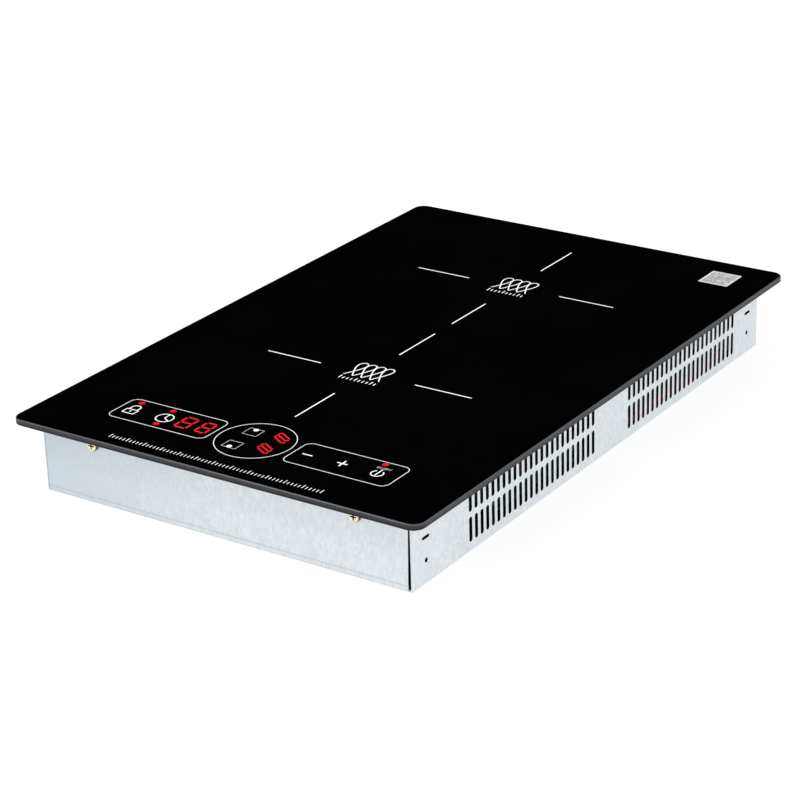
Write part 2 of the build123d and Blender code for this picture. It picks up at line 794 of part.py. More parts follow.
def lead(points, bend, diameter):
    """Round insulated lead along straight runs joined by arcs."""
    with BuildPart() as run:
        with BuildLine() as route:
            FilletPolyline(*points, radius=bend)
        with BuildSketch(Plane(route.line @ 0, z_dir=route.line % 0)):
            Circle(diameter / 2)
        sweep()
    return run.part


board_choke_form = wound_ring(choke_radius, choke_core_width, choke_core_height, choke_wire, choke_turns)
choke_reach = choke_radius + choke_core_width / 2 + choke_wire
capacitor_x = bay_left + capacitor_gap + film_capacitor_width / 2
drum_x = capacitor_x + film_capacitor_width / 2 + capacitor_gap + drum_capacitor_diameter / 2
film_y = capacitor_gap + drum_capacitor_diameter
link_y = film_y + film_capacitor_depth / 2 + capacitor_gap + link_capacitor_depth / 2
choke_y = -(choke_reach + capacitor_gap * 2)
lug_x = board_right - lug_inset
lug_y = 2 * lug_inset - lug_height + lead_diameter / 2
lug_top = board_top + lug_height
supply_lug_x = (lead_spacing, lead_spacing + lug_width + capacitor_gap)
supply_lug_y = board_depth / 2 - lug_inset
socket_x = lug_x - socket_length - capacitor_gap
socket_y = board_depth / 2 - socket_depth / 2 - board_edge_gap
fan_socket_x = board_left + board_edge_gap + socket_depth
fan_socket_y = fan_size / 2 - board_edge_gap

for zone, zone_y in zones:
    # Printed board with the lead lugs and the sockets soldered to it.
    with BuildPart() as power_board:
        with BuildSketch(level(board_bottom, board_x, zone_y)):
            Rectangle(board_width, board_depth)
            with GridLocations(
                board_width - 2 * board_hole_inset, board_depth - 2 * board_hole_inset, 2, 2
            ):
                Circle(m3_diameter / 2 + clear_fit, mode=Mode.SUBTRACT)
        extrude(amount=board_thickness)
        with BuildSketch(level(board_top, 0, zone_y)):
            with Locations((lug_x, lug_y), (lug_x, -lug_y)):
                Rectangle(lug_width, lug_width)
            toward_filter = math.copysign(1, filter_y - zone_y)
            with Locations(*[(x, toward_filter * supply_lug_y) for x in supply_lug_x]):
                Rectangle(lug_width, lug_width)
        extrude(amount=lug_height)
        with BuildSketch(level(board_top, 0, zone_y)):
            with Locations((socket_x, socket_y), (socket_x, -socket_y)):
                Rectangle(socket_length, socket_depth)
            with Locations((fan_socket_x, fan_socket_y)):
                Rectangle(socket_depth, socket_depth)
        extrude(amount=socket_height)
    power_board.part.label = f"{zone}_power_board"
    export_step(power_board.part, f"parts/{zone}_power_board.step")

    # Two transistors and a rectifier lie flat on the board under the heatsink.
    with BuildPart() as power_devices:
        with BuildSketch(level(board_top, heatsink_left + heatsink_length / 2, zone_y)):
            with GridLocations(heatsink_length / device_count, 0, device_count, 1):
                Rectangle(device_width, device_depth)
        extrude(amount=device_thickness)
        leg_y = zone_y - (device_depth + device_leg_length) / 2
        with BuildSketch(level(board_top, heatsink_left + heatsink_length / 2, leg_y)):
            with GridLocations(heatsink_length / device_count, 0, device_count, 1):
                with GridLocations(device_width / 3, 0, 3, 1):
                    Rectangle(device_leg, device_leg_length)
        extrude(amount=device_thickness / 2)
    power_devices.part.label = f"{zone}_power_devices"
    export_step(power_devices.part, f"parts/{zone}_power_devices.step")

    # Extruded heatsink: floor on the devices, two feet on the board, fins along the air stream.
    with BuildPart() as heatsink:
        section = Plane(origin=(heatsink_left, zone_y, 0), x_dir=(0, 1, 0), z_dir=(1, 0, 0))
        with BuildSketch(section):
            with Locations((0, heatsink_bottom + heatsink_floor / 2)):
                Rectangle(heatsink_width, heatsink_floor)
            foot_y = (heatsink_width - heatsink_foot) / 2
            foot_z = (board_top + heatsink_bottom) / 2
            with Locations((-foot_y, foot_z), (foot_y, foot_z)):
                Rectangle(heatsink_foot, device_thickness)
            fin_step = (heatsink_width - fin_thickness) / (fin_count - 1)
            with Locations((0, heatsink_bottom + heatsink_floor + fin_height / 2)):
                with GridLocations(fin_step, 0, fin_count, 1):
                    Rectangle(fin_thickness, fin_height)
        extrude(amount=heatsink_length)
    heatsink.part.label = f"{zone}_heatsink"
    export_step(heatsink.part, f"parts/{zone}_heatsink.step")

    # Resonance capacitor, link capacitor and two electrolytic drums.
    with BuildPart() as board_capacitors:
        for y, depth in ((film_y, film_capacitor_depth), (link_y, link_capacitor_depth)):
            with BuildSketch(level(board_top, capacitor_x, zone_y + y)):
                RectangleRounded(film_capacitor_width, depth, capacitor_edge)
            extrude(amount=film_capacitor_height)
        with BuildSketch(level(board_top, drum_x, zone_y)):
            with Locations((0, film_y), (0, link_y)):
                Circle(drum_capacitor_diameter / 2)
        extrude(amount=drum_capacitor_height)
        fillet(board_capacitors.edges().group_by(Axis.Z)[-1], capacitor_edge / 2)
    board_capacitors.part.label = f"{zone}_board_capacitors"
    export_step(board_capacitors.part, f"parts/{zone}_board_capacitors.step")

    with BuildPart() as board_choke:
        with Locations((bay_left + choke_reach, zone_y + choke_y, board_top)):
            add(board_choke_form)
    board_choke.part.label = f"{zone}_board_choke"
    export_step(board_choke.part, f"parts/{zone}_board_choke.step")

    # One coil lead leaves the outer turn over the rim, the other the inner turn through a window.
    lead_height = carrier_top + winding_height / 2
    under_height = ferrite_bottom - lead_diameter / 2 - lead_gap
    outer_lead = lead(
        [
            (coil_radius + lead_gap, zone_y, lead_height),
            (carrier_radius + 3 * lug_width, zone_y, lead_height),
            (lug_x, zone_y + lug_y, (lead_height + lug_top) / 2),
            (lug_x, zone_y + lug_y, lug_top + lead_gap),
        ],
        2 * lead_diameter,
        lead_diameter,
    )
    inner_lead = lead(
        [
            (ferrite_mid_radius, zone_y, carrier_top - lead_gap),
            (ferrite_mid_radius, zone_y, under_height),
            (carrier_radius + 2 * lug_width, zone_y, under_height),
            (lug_x, zone_y - lug_y, (under_height + lug_top) / 2),
            (lug_x, zone_y - lug_y, lug_top + lead_gap),
        ],
        lead_diameter,
        lead_diameter,
    )
    with BuildPart() as coil_leads:
        add(outer_lead)
        add(inner_lead)
    coil_leads.part.label = f"{zone}_coil_leads"
    export_step(coil_leads.part, f"parts/{zone}_coil_leads.step")

# Short leads from the fan frames to their sockets on the power boards.
fan_lead_y = [zone_y + fan_socket_y for name, zone_y in zones]
fan_lead_runs = [
    lead(
        [
            (fan_x + fan_size / 2 + lead_gap, y, fan_top - fan_flange / 2),
            (fan_socket_x - socket_depth, y, fan_top + socket_height / 2),
            (fan_socket_x, y, fan_top + socket_height / 2),
            (fan_socket_x, y, board_top + socket_height + lead_gap),
        ],
        m3_diameter / 2,
        m3_diameter / 2,
    )
    for y in fan_lead_y
]
with BuildPart() as fan_leads:
    for run in fan_lead_runs:
        add(run)
fan_leads.part.label = "fan_leads"
export_step(fan_leads.part, "parts/fan_leads.step")

# ---------------------------------------------------------------- mains side

# Gland in the rear wall: threaded sleeve, hexagon and cap, with the cable's bore.
with BuildPart() as cable_gland:
    rear_inside = rear_face.offset(-sheet)
    with BuildSketch(rear_inside.offset(-gland_inner_length)):
        with Locations((-gland_x, gland_height)):
            Circle(gland_thread_diameter / 2)
    extrude(amount=gland_inner_length + sheet)
    with BuildSketch(rear_face):
        with Locations((-gland_x, gland_height)):
            RegularPolygon(gland_across_flats / 2, 6, major_radius=False, rotation=30)
    extrude(amount=gland_hex)
    with BuildSketch(rear_face.offset(gland_hex)):
        with Locations((-gland_x, gland_height)):
            Circle(gland_cap_diameter / 2)
    extrude(amount=gland_cap)
    fillet(cable_gland.edges().group_by(Axis.Y)[-1], gland_cap / 3)
    with BuildSketch(rear_inside.offset(-gland_inner_length)):
        with Locations((-gland_x, gland_height)):
            Circle(gland_bore / 2)
    extrude(amount=gland_inner_length + sheet + gland_hex + gland_cap, mode=Mode.SUBTRACT)
cable_gland.part.label = "cable_gland"
export_step(cable_gland.part, "parts/cable_gland.step")

with BuildPart() as gland_nut:
    with BuildSketch(rear_inside):
        with Locations((-gland_x, gland_height)):
            RegularPolygon(gland_across_flats / 2, 6, major_radius=False, rotation=30)
            Circle(gland_thread_diameter / 2 + thread_fit, mode=Mode.SUBTRACT)
    extrude(amount=-lock_nut)
gland_nut.part.label = "gland_nut"
export_step(gland_nut.part, "parts/gland_nut.step")

# Terminal block with one screw well for each pole.
pole_pitch = terminal_width / terminal_poles
terminal_top = sheet + terminal_height
pole_places = [gland_x + (pole - (terminal_poles - 1) / 2) * pole_pitch for pole in range(terminal_poles)]
with BuildPart() as terminal_block:
    with BuildSketch(level(sheet, gland_x, terminal_y)):
        RectangleRounded(terminal_width, terminal_depth, terminal_edge)
    extrude(amount=terminal_height)
    with BuildSketch(level(terminal_top)):
        with Locations(*[(x, terminal_y) for x in pole_places]):
            Circle(terminal_well_diameter / 2)
    extrude(amount=-terminal_well, mode=Mode.SUBTRACT)
    with BuildSketch(level(terminal_top - terminal_well)):
        with Locations(*[(x, terminal_y) for x in pole_places]):
            Circle(m3_diameter / 2 + thread_fit)
    extrude(amount=-terminal_well, mode=Mode.SUBTRACT)
terminal_block.part.label = "terminal_block"
export_step(terminal_block.part, "parts/terminal_block.step")

terminal_screw = pan_screw(m3_diameter, m3_head_diameter, m3_head_height, terminal_well / 2)
with BuildPart() as terminal_screws:
    with Locations(*[(x, terminal_y, terminal_top - terminal_well) for x in pole_places]):
        add(terminal_screw)
terminal_screws.part.label = "terminal_screws"
export_step(terminal_screws.part, "parts/terminal_screws.step")

# Earth lead: ring tag under the earth screw, and a lead to the terminal block.
terminal_left = gland_x - terminal_width / 2
terminal_lead_height = sheet + terminal_height / 2
tag_radius = m4_head_diameter / 2 + sheet
earth_run = lead(
    [
        (earth_x + tag_radius, earth_y, 2 * sheet + lead_diameter / 2 - lead_gap),
        (earth_x + 2 * tag_radius, earth_y, 2 * sheet + lead_diameter / 2 - lead_gap),
        (terminal_left - tag_radius, terminal_y, terminal_lead_height),
        (terminal_left - lead_gap, terminal_y, terminal_lead_height),
    ],
    lead_diameter,
    lead_diameter,
)
with BuildPart() as earth_lead:
    with BuildSketch(level(sheet, earth_x, earth_y)):
        Circle(tag_radius)
        with Locations((tag_radius, 0)):
            Rectangle(2 * tag_radius, tag_radius)
        Circle(m4_diameter / 2 + clear_fit, mode=Mode.SUBTRACT)
    extrude(amount=sheet)
    add(earth_run)
earth_lead.part.label = "earth_lead"
export_step(earth_lead.part, "parts/earth_lead.step")

earth_screw_form = pan_screw(m4_diameter, m4_head_diameter, m4_head_height, 2 * sheet)
with BuildPart() as earth_screw:
    with Locations((earth_x, earth_y, 2 * sheet)):
        add(earth_screw_form)
earth_screw.part.label = "earth_screw"
export_step(earth_screw.part, "parts/earth_screw.step")

# Filter board between the power boards, with its lugs.
mains_lug_x = filter_width / 2 - lug_width
mains_lug_y = (lug_width + clip_slot_width / 2) / 2
filter_lug_y = filter_depth / 2 - lug_width / 2 - lead_gap
with BuildPart() as filter_board:
    with BuildSketch(level(board_bottom, 0, filter_y)):
        Rectangle(filter_width, filter_depth)
        with GridLocations(
            filter_width - 2 * board_hole_inset, filter_depth - 2 * board_hole_inset, 2, 2
        ):
            Circle(m3_diameter / 2 + clear_fit, mode=Mode.SUBTRACT)
    extrude(amount=board_thickness)
    with BuildSketch(level(board_top, 0, filter_y)):
        with Locations((mains_lug_x, mains_lug_y), (mains_lug_x, -mains_lug_y)):
            Rectangle(lug_width, lug_width)
        with Locations(*[(x, side * filter_lug_y) for x in supply_lug_x for side in (-1, 1)]):
            Rectangle(lug_width, lug_width)
    extrude(amount=lug_height)
filter_board.part.label = "filter_board"
export_step(filter_board.part, "parts/filter_board.step")

filter_choke_form = wound_ring(
    filter_choke_radius, choke_core_width, choke_core_height, choke_wire, choke_turns
)
filter_choke_x = -filter_width / 4
with BuildPart() as filter_choke:
    with Locations((filter_choke_x, filter_y, board_top)):
        add(filter_choke_form)
filter_choke.part.label = "filter_choke"
export_step(filter_choke.part, "parts/filter_choke.step")

with BuildPart() as filter_capacitor:
    with BuildSketch(level(board_top, sum(supply_lug_x) / 2, filter_y)):
        RectangleRounded(filter_capacitor_width, filter_capacitor_depth, capacitor_edge)
    extrude(amount=filter_capacitor_height)
filter_capacitor.part.label = "filter_capacitor"
export_step(filter_capacitor.part, "parts/filter_capacitor.step")

# Cartridge fuse lying in two clips.
fuse_x = sum(supply_lug_x) / 2 + filter_capacitor_width / 2 + lug_width
fuse_z = board_top + fuse_lift + fuse_diameter / 2 + fuse_cap_wall
with BuildPart() as fuse:
    fuse_section = Plane(origin=(fuse_x, filter_y, fuse_z), x_dir=(1, 0, 0), z_dir=(0, 1, 0))
    with BuildSketch(fuse_section):
        Circle(fuse_diameter / 2)
    extrude(amount=fuse_length / 2, both=True)
    for end in (-1, 1):
        with BuildSketch(fuse_section.offset(end * fuse_length / 2)):
            Circle(fuse_diameter / 2 + fuse_cap_wall)
        extrude(amount=-end * fuse_cap_length)
    with BuildSketch(level(board_top, fuse_x, filter_y)):
        with GridLocations(0, fuse_length - fuse_cap_length, 1, 2):
            Rectangle(fuse_clip, fuse_clip)
    extrude(amount=fuse_lift + fuse_cap_wall * 2)
fuse.part.label = "fuse"
export_step(fuse.part, "parts/fuse.step")

# Mains leads run from the terminal block along the right wall to the filter board.
wall_lead_x = (board_right + inner_x) / 2
mains_runs = []
for pole, side in ((1, 1), (2, -1)):
    lead_z = board_bottom - side * lead_spacing / 2 + lead_gap
    lead_y = filter_y - side * mains_lug_y
    filter_lead_z = board_top + lug_height / 2
    mains_runs.append(
        lead(
            [
                (pole_places[pole], terminal_y - terminal_depth / 2 - lead_gap, lead_z),
                (pole_places[pole], terminal_y - terminal_depth / 2 - 2 * lead_diameter, lead_z),
                (wall_lead_x, terminal_y - terminal_depth / 2 - 3 * lead_diameter, lead_z),
                (wall_lead_x, lead_y, lead_z),
                (post_offset + lug_width, lead_y, filter_lead_z),
                (mains_lug_x + lug_width / 2 + lead_gap, lead_y, filter_lead_z),
            ],
            lead_diameter,
            lead_diameter,
        )
    )
with BuildPart() as mains_leads:
    for run in mains_runs:
        add(run)
mains_leads.part.label = "mains_leads"
export_step(mains_leads.part, "parts/mains_leads.step")

# Hooped leads carry the supply from the filter board to both power boards.
hoop_top = lug_top + 3 * lead_diameter
supply_runs = []
for name, zone_y in zones:
    side = math.copysign(1, zone_y - filter_y)
    for x in supply_lug_x:
        supply_runs.append(
            lead(
                [
                    (x, filter_y + side * filter_lug_y, lug_top + lead_gap),
                    (x, filter_y + side * filter_lug_y, hoop_top),
                    (x, zone_y - side * supply_lug_y, hoop_top),
                    (x, zone_y - side * supply_lug_y, lug_top + lead_gap),
                ],
                2 * lead_diameter,
                lead_diameter,
            )
        )
with BuildPart() as supply_leads:
    for run in supply_runs:
        add(run)
supply_leads.part.label = "supply_leads"
export_step(supply_leads.part, "parts/supply_leads.step")

# ---------------------------------------------------------------- controls

# Moulded bracket: shallow tray on four legs, with bosses under the control board.
with BuildPart() as control_bracket:
    with BuildSketch(level(bracket_bottom, 0, control_y)):
        Rectangle(bracket_width, bracket_depth)
    extrude(amount=control_board_top - bracket_bottom)
    with BuildSketch(level(bracket_floor_top, 0, control_y)):
        Rectangle(bracket_width - 2 * bracket_wall, bracket_depth - 2 * bracket_wall)
    extrude(amount=control_board_top - bracket_floor_top, mode=Mode.SUBTRACT)
    with BuildSketch(level(bracket_floor_top)):
        with Locations(*boss_places):
            Circle(boss_diameter / 2)
            Circle(m3_diameter / 2 + thread_fit, mode=Mode.SUBTRACT)
    extrude(amount=boss_height)
    with BuildSketch(level(sheet)):
        with Locations(*leg_places):
            Circle(bracket_leg_diameter / 2)
    extrude(amount=bracket_bottom - sheet)
    with BuildSketch():
        with Locations(*leg_places):
            Circle(spigot_diameter / 2)
    extrude(amount=sheet)
control_bracket.part.label = "control_bracket"
export_step(control_bracket.part, "parts/control_bracket.step")

# Control board with the harness socket at its right rear corner.
control_socket_x = control_board_width / 2 - control_socket_gap - socket_length / 2
control_socket_y = control_y + control_board_depth / 2 - socket_depth / 2
with BuildPart() as control_board:
    with BuildSketch(level(control_board_bottom, 0, control_y)):
        Rectangle(control_board_width, control_board_depth)
    extrude(amount=board_thickness)
    with BuildSketch(level(control_board_bottom)):
        with Locations(*boss_places):
            Circle(m3_diameter / 2 + clear_fit)
    extrude(amount=board_thickness, mode=Mode.SUBTRACT)
    with BuildSketch(level(control_board_top)):
        with Locations((control_socket_x, control_socket_y)):
            Rectangle(socket_length, socket_depth)
    extrude(amount=socket_height)
control_board.part.label = "control_board"
export_step(control_board.part, "parts/control_board.step")

# Conductive pads between the board and the glass, one under each touch key.
key_places = [(x, 0) for x in (lock_key_x, timer_key_x, minus_key_x, plus_key_x, power_key_x)]
with BuildPart() as touch_pads:
    with BuildSketch(level(control_board_top, 0, control_y)):
        with Locations(*key_places):
            Circle(touch_pad_diameter / 2)
        with Locations((zone_key_x, 0)):
            with GridLocations(0, zone_key_pitch, 1, 2):
                Circle(touch_pad_diameter / 2)
    extrude(amount=display_height)
touch_pads.part.label = "touch_pads"
export_step(touch_pads.part, "parts/touch_pads.step")

with BuildPart() as timer_display:
    with BuildSketch(level(control_board_top, timer_display_x, control_y)):
        Rectangle(timer_display_width, timer_display_depth)
    extrude(amount=display_height - display_gap)
    fillet(timer_display.edges().group_by(Axis.Z)[-1], display_edge)
timer_display.part.label = "timer_display"
export_step(timer_display.part, "parts/timer_display.step")

with BuildPart() as zone_displays:
    with BuildSketch(level(control_board_top, zone_display_x, control_y + zone_display_offset)):
        with GridLocations(0, zone_display_pitch, 1, 2):
            Rectangle(zone_display_width, zone_display_depth)
    extrude(amount=display_height - display_gap)
    fillet(zone_displays.edges().group_by(Axis.Z)[-1], display_edge)
zone_displays.part.label = "zone_displays"
export_step(zone_displays.part, "parts/zone_displays.step")

light_places = [
    (lock_key_x + lock_light_shift, lock_light_offset),
    (timer_key_x + timer_light_shift, timer_light_offset),
    (timer_key_x + timer_lower_light_shift, timer_lower_light_offset),
    (power_key_x + power_light_shift, power_light_offset),
]
with BuildPart() as indicator_lights:
    with BuildSketch(level(control_board_top, 0, control_y)):
        with Locations(*light_places):
            Circle(light_diameter / 2)
    extrude(amount=display_height - display_gap)
indicator_lights.part.label = "indicator_lights"
export_step(indicator_lights.part, "parts/indicator_lights.step")

with BuildPart() as buzzer:
    with BuildSketch(level(control_board_top, buzzer_x, control_y + buzzer_offset)):
        Circle(buzzer_diameter / 2)
    extrude(amount=buzzer_height)
    fillet(buzzer.edges().group_by(Axis.Z)[-1], display_edge)
    with BuildSketch(level(control_board_top + buzzer_height, buzzer_x, control_y + buzzer_offset)):
        Circle(buzzer_port / 2)
    extrude(amount=-buzzer_height / 2, mode=Mode.SUBTRACT)
buzzer.part.label = "buzzer"
export_step(buzzer.part, "parts/buzzer.step")

# Harness: control board to the front power board, and from there to the rear one.
socket_mid = board_top + socket_height / 2
control_socket_mid = control_board_top + socket_height / 2
harness_hump = board_top + 2 * socket_height
harness_start = control_socket_y + socket_depth / 2 + lead_gap
front_entry = front_zone_y - socket_y - socket_depth / 2 - lead_gap
front_exit = front_zone_y + socket_y + socket_depth / 2 + lead_gap
rear_entry = rear_zone_y - socket_y - socket_depth / 2 - lead_gap
harness_routes = [
    [
        (control_socket_x, harness_start, control_socket_mid),
        (control_socket_x, harness_start + 3 * harness_diameter, control_socket_mid),
        (socket_x, front_entry - 2 * harness_diameter, socket_mid),
        (socket_x, front_entry, socket_mid),
    ],
    [
        (socket_x, front_exit, socket_mid),
        (socket_x, front_exit + 2 * harness_diameter, socket_mid),
        (socket_x, filter_y - harness_diameter, harness_hump),
        (socket_x, filter_y + harness_diameter, harness_hump),
        (socket_x, rear_entry - 2 * harness_diameter, socket_mid),
        (socket_x, rear_entry, socket_mid),
    ],
]
harness_runs = [lead(route, harness_diameter, harness_diameter) for route in harness_routes]
with BuildPart() as control_harness:
    for run in harness_runs:
        add(run)
control_harness.part.label = "control_harness"
export_step(control_harness.part, "parts/control_harness.step")
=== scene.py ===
# %% [markdown]
# # A two-zone induction cooktop
# The cooktop is a black glass plate glued to a shallow tray of galvanised sheet steel. The
# steel tray, the coils, the fans and the boards already exist as solids in the frame. This
# lesson gives them their finishes, and adds what the solids leave out: the white printing on
# the glass, the lit digits and dots behind it, and a blank sticker.

import json
import math

import bpy
from mathutils import Matrix, Vector


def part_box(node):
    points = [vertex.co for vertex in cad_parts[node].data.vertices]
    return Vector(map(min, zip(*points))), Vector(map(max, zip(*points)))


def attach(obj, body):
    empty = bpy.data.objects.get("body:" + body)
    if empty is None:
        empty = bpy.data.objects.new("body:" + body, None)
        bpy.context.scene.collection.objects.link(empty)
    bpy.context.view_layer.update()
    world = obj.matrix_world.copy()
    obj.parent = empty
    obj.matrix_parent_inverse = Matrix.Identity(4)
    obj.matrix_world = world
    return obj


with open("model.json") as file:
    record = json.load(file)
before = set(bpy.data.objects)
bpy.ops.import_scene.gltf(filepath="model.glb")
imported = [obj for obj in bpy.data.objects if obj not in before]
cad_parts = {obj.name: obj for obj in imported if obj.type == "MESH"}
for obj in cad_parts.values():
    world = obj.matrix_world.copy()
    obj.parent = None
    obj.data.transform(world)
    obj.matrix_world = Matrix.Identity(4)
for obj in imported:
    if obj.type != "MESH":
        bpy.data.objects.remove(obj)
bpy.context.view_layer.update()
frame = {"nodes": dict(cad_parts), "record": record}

# %% [markdown]
# ## Camera
# The plate is seen from the front right and from above, with a long lens, so its far edges
# are nearly parallel to its near ones. A camera looks along its own -Z axis, so three unit
# vectors (right, up and back) are enough to turn it: they become the columns of its matrix.

# %% Camera
camera_turn = math.radians(34.561)     # from straight ahead towards the right side
camera_rise = math.radians(23.308)
camera_roll = math.radians(-1.793)
camera_distance = 1.7071
camera_side_step = -0.01397
camera_up_step = 0.009074

back = Vector((
    math.sin(camera_turn) * math.cos(camera_rise),
    -math.cos(camera_turn) * math.cos(camera_rise),
    math.sin(camera_rise),
))
level_right = Vector((0, 0, 1)).cross(back).normalized()
level_up = back.cross(level_right)
right = level_right * math.cos(camera_roll) + level_up * math.sin(camera_roll)
up = level_up * math.cos(camera_roll) - level_right * math.sin(camera_roll)

camera_data = bpy.data.cameras.new("camera")
camera_data.lens = 116.781
camera_data.sensor_width = 36.0
camera = bpy.data.objects.new("camera", camera_data)
bpy.context.scene.collection.objects.link(camera)
camera.matrix_world = Matrix.Translation(
    back * camera_distance + right * camera_side_step + up * camera_up_step
) @ Matrix((right, up, back)).transposed().to_4x4()
bpy.context.scene.camera = camera
bpy.context.scene.view_settings.view_transform = "Standard"
print("camera at", [round(value, 3) for value in camera.matrix_world.translation])

# %% [markdown]
# ## A short way to write node trees
# Shader trees and Geometry Nodes trees are built alike: a node is added, some of its settings
# are changed, and its inputs get either a value or a link from another node's output. One
# helper does all three, so that a finish later reads like a recipe. A second helper does sums
# with Math nodes, and a third turns a colour as seen on a screen into the light it stands for.


# %% Node helper
def add_node(tree, kind, inputs=None, **settings):
    """Adds a node. An input given a socket is linked to it, and any other value is set."""
    node = tree.nodes.new(kind)
    for name, value in settings.items():
        setattr(node, name, value)
    for name, value in (inputs or {}).items():
        if isinstance(value, bpy.types.NodeSocket):
            tree.links.new(value, node.inputs[name])
        else:
            node.inputs[name].default_value = value
    return node


def calculate(tree, operation, *values):
    """Math node over sockets or plain numbers."""
    node = add_node(tree, "ShaderNodeMath", operation=operation)
    for socket, value in zip(node.inputs, values):
        if isinstance(value, bpy.types.NodeSocket):
            tree.links.new(value, socket)
        else:
            socket.default_value = value
    return node.outputs[0]


def screen_colour(red, green, blue):
    """Colour written as it looks on a screen, 0 to 255, turned into the linear light it stands for."""
    linear = []
    for value in (red, green, blue):
        share = value / 255
        linear.append(share / 12.92 if share <= 0.04045 else ((share + 0.055) / 1.055) ** 2.4)
    return (*linear, 1.0)


print("a middle grey on a screen is", round(screen_colour(128, 128, 128)[0], 3), "of white's light")

# %% [markdown]
# ## World and lamps
# A glossy black plate shows whatever stands behind it. In a studio a dark band of cloth
# hangs there, while the steel walls below mirror the white floor. The world shader does
# the same by height: mirror rays find white at the horizon, a dark band above it and a soft
# pale ceiling. Rays that only carry diffuse light get one plain grey-white from everywhere, so a
# colour renders about as it is written.

# %% World
world = bpy.data.worlds.new("studio")
bpy.context.scene.world = world
world.use_nodes = True
sky = world.node_tree
sky.nodes.clear()

diffuse_level = 0.92
ceiling_level = 0.42
band_bottom = math.sin(math.radians(5))
band_bottom_end = math.sin(math.radians(13))
band_top = math.sin(math.radians(38))
band_top_end = math.sin(math.radians(62))

light_path = add_node(sky, "ShaderNodeLightPath").outputs
direction = add_node(sky, "ShaderNodeTexCoord").outputs["Generated"]
height = add_node(sky, "ShaderNodeSeparateXYZ", {"Vector": direction}).outputs["Z"]
horizon_glow = add_node(sky, "ShaderNodeMapRange", {
    "Value": height, "From Min": band_bottom, "From Max": band_bottom_end,
    "To Min": 1.0, "To Max": 0.0,
}, interpolation_type="SMOOTHSTEP")
ceiling_glow = add_node(sky, "ShaderNodeMapRange", {
    "Value": height, "From Min": band_top, "From Max": band_top_end,
    "To Min": 0.0, "To Max": ceiling_level,
}, interpolation_type="SMOOTHSTEP")
mirrored = calculate(sky, "MAXIMUM", horizon_glow.outputs["Result"], ceiling_glow.outputs["Result"])
mirror_ray = calculate(sky, "MAXIMUM", light_path["Is Glossy Ray"], light_path["Is Transmission Ray"])
seen_level = add_node(sky, "ShaderNodeMix", {"Factor": mirror_ray, "A": diffuse_level, "B": mirrored})
sky_level = add_node(sky, "ShaderNodeMix", {
    "Factor": light_path["Is Camera Ray"], "A": seen_level.outputs["Result"], "B": 1.0,
})
sky_background = add_node(sky, "ShaderNodeBackground", {"Strength": sky_level.outputs["Result"]})
add_node(sky, "ShaderNodeOutputWorld", {"Surface": sky_background.outputs["Background"]})
print("sky nodes:", len(sky.nodes))

# %% [markdown]
# Three area lamps shape what the even light leaves flat: one for the right wall, one that makes
# the front wall brighter towards its right end, and a small one that catches the glass's bevel.


# %% Lamps
def add_area_lamp(name, place, target, width, watts):
    """Square area lamp at a place, facing a target."""
    lamp_data = bpy.data.lights.new(name, "AREA")
    lamp_data.size = width
    lamp_data.energy = watts
    lamp = bpy.data.objects.new(name, lamp_data)
    bpy.context.scene.collection.objects.link(lamp)
    facing = (Vector(place) - Vector(target)).to_track_quat("Z", "Y")
    lamp.matrix_world = Matrix.Translation(place) @ facing.to_matrix().to_4x4()


add_area_lamp("right_softbox", (2.0, -0.2, 0.9), (0.1, 0, 0.03), 1.4, 11)
add_area_lamp("front_softbox", (0.75, -1.0, 0.5), (0.1, -0.2, 0.02), 0.8, 1.3)
add_area_lamp("bevel_light", (-0.42, -0.63, 0.81), (0.12, -0.228, 0.05), 0.2, 3.2)

# %% [markdown]
# ## Floor
# The cooktop stands on a plain white sheet. The camera and the mirror rays see it at a strength
# just under white, and the rest of its brightness comes from lit diffuse white, so that the soft
# contact shadow under the tray stays visible. From below the sheet is clear, and so it is to the
# short rays that leave the tray's base, which lets the underside be seen and lit as well.

# %% Floor
floor_glow = 0.76              # what the camera and mirrors see of the sheet's own light
sheet_shade = 0.34             # its diffuse white as they see it
sheet_bounce = 0.72            # its diffuse white for all other rays
floor_reach = 30.0
floor_level = -0.0002          # just clear of the tray's base, so the two faces never coincide
base_ray_length = 0.001        # rays shorter than this come from the tray's base

floor_mesh = bpy.data.meshes.new("floor")
floor_mesh.from_pydata(
    [(-floor_reach, -floor_reach, floor_level), (floor_reach, -floor_reach, floor_level),
     (floor_reach, floor_reach, floor_level), (-floor_reach, floor_reach, floor_level)],
    [], [(0, 1, 2, 3)],
)
floor = bpy.data.objects.new("floor", floor_mesh)
bpy.context.scene.collection.objects.link(floor)

floor_finish = bpy.data.materials.new("white_sheet")
floor_finish.use_nodes = True
floor_tree = floor_finish.node_tree
floor_tree.nodes.clear()
floor_path = add_node(floor_tree, "ShaderNodeLightPath").outputs
seen = calculate(floor_tree, "MAXIMUM", floor_path["Is Camera Ray"], floor_path["Is Transmission Ray"])
seen = calculate(floor_tree, "MAXIMUM", seen, floor_path["Is Glossy Ray"])
glow_strength = calculate(floor_tree, "MULTIPLY", seen, floor_glow)
glow = add_node(floor_tree, "ShaderNodeEmission", {"Strength": glow_strength})
seen_shade = add_node(floor_tree, "ShaderNodeMix", {"Factor": seen, "A": sheet_bounce, "B": sheet_shade})
lit_sheet = add_node(floor_tree, "ShaderNodeBsdfDiffuse", {"Color": seen_shade.outputs["Result"]})
both = add_node(floor_tree, "ShaderNodeAddShader")
floor_tree.links.new(lit_sheet.outputs[0], both.inputs[0])
floor_tree.links.new(glow.outputs[0], both.inputs[1])
from_below = add_node(floor_tree, "ShaderNodeNewGeometry").outputs["Backfacing"]
from_base = calculate(floor_tree, "LESS_THAN", floor_path["Ray Length"], base_ray_length)
open_below = calculate(floor_tree, "MAXIMUM", from_below, from_base)
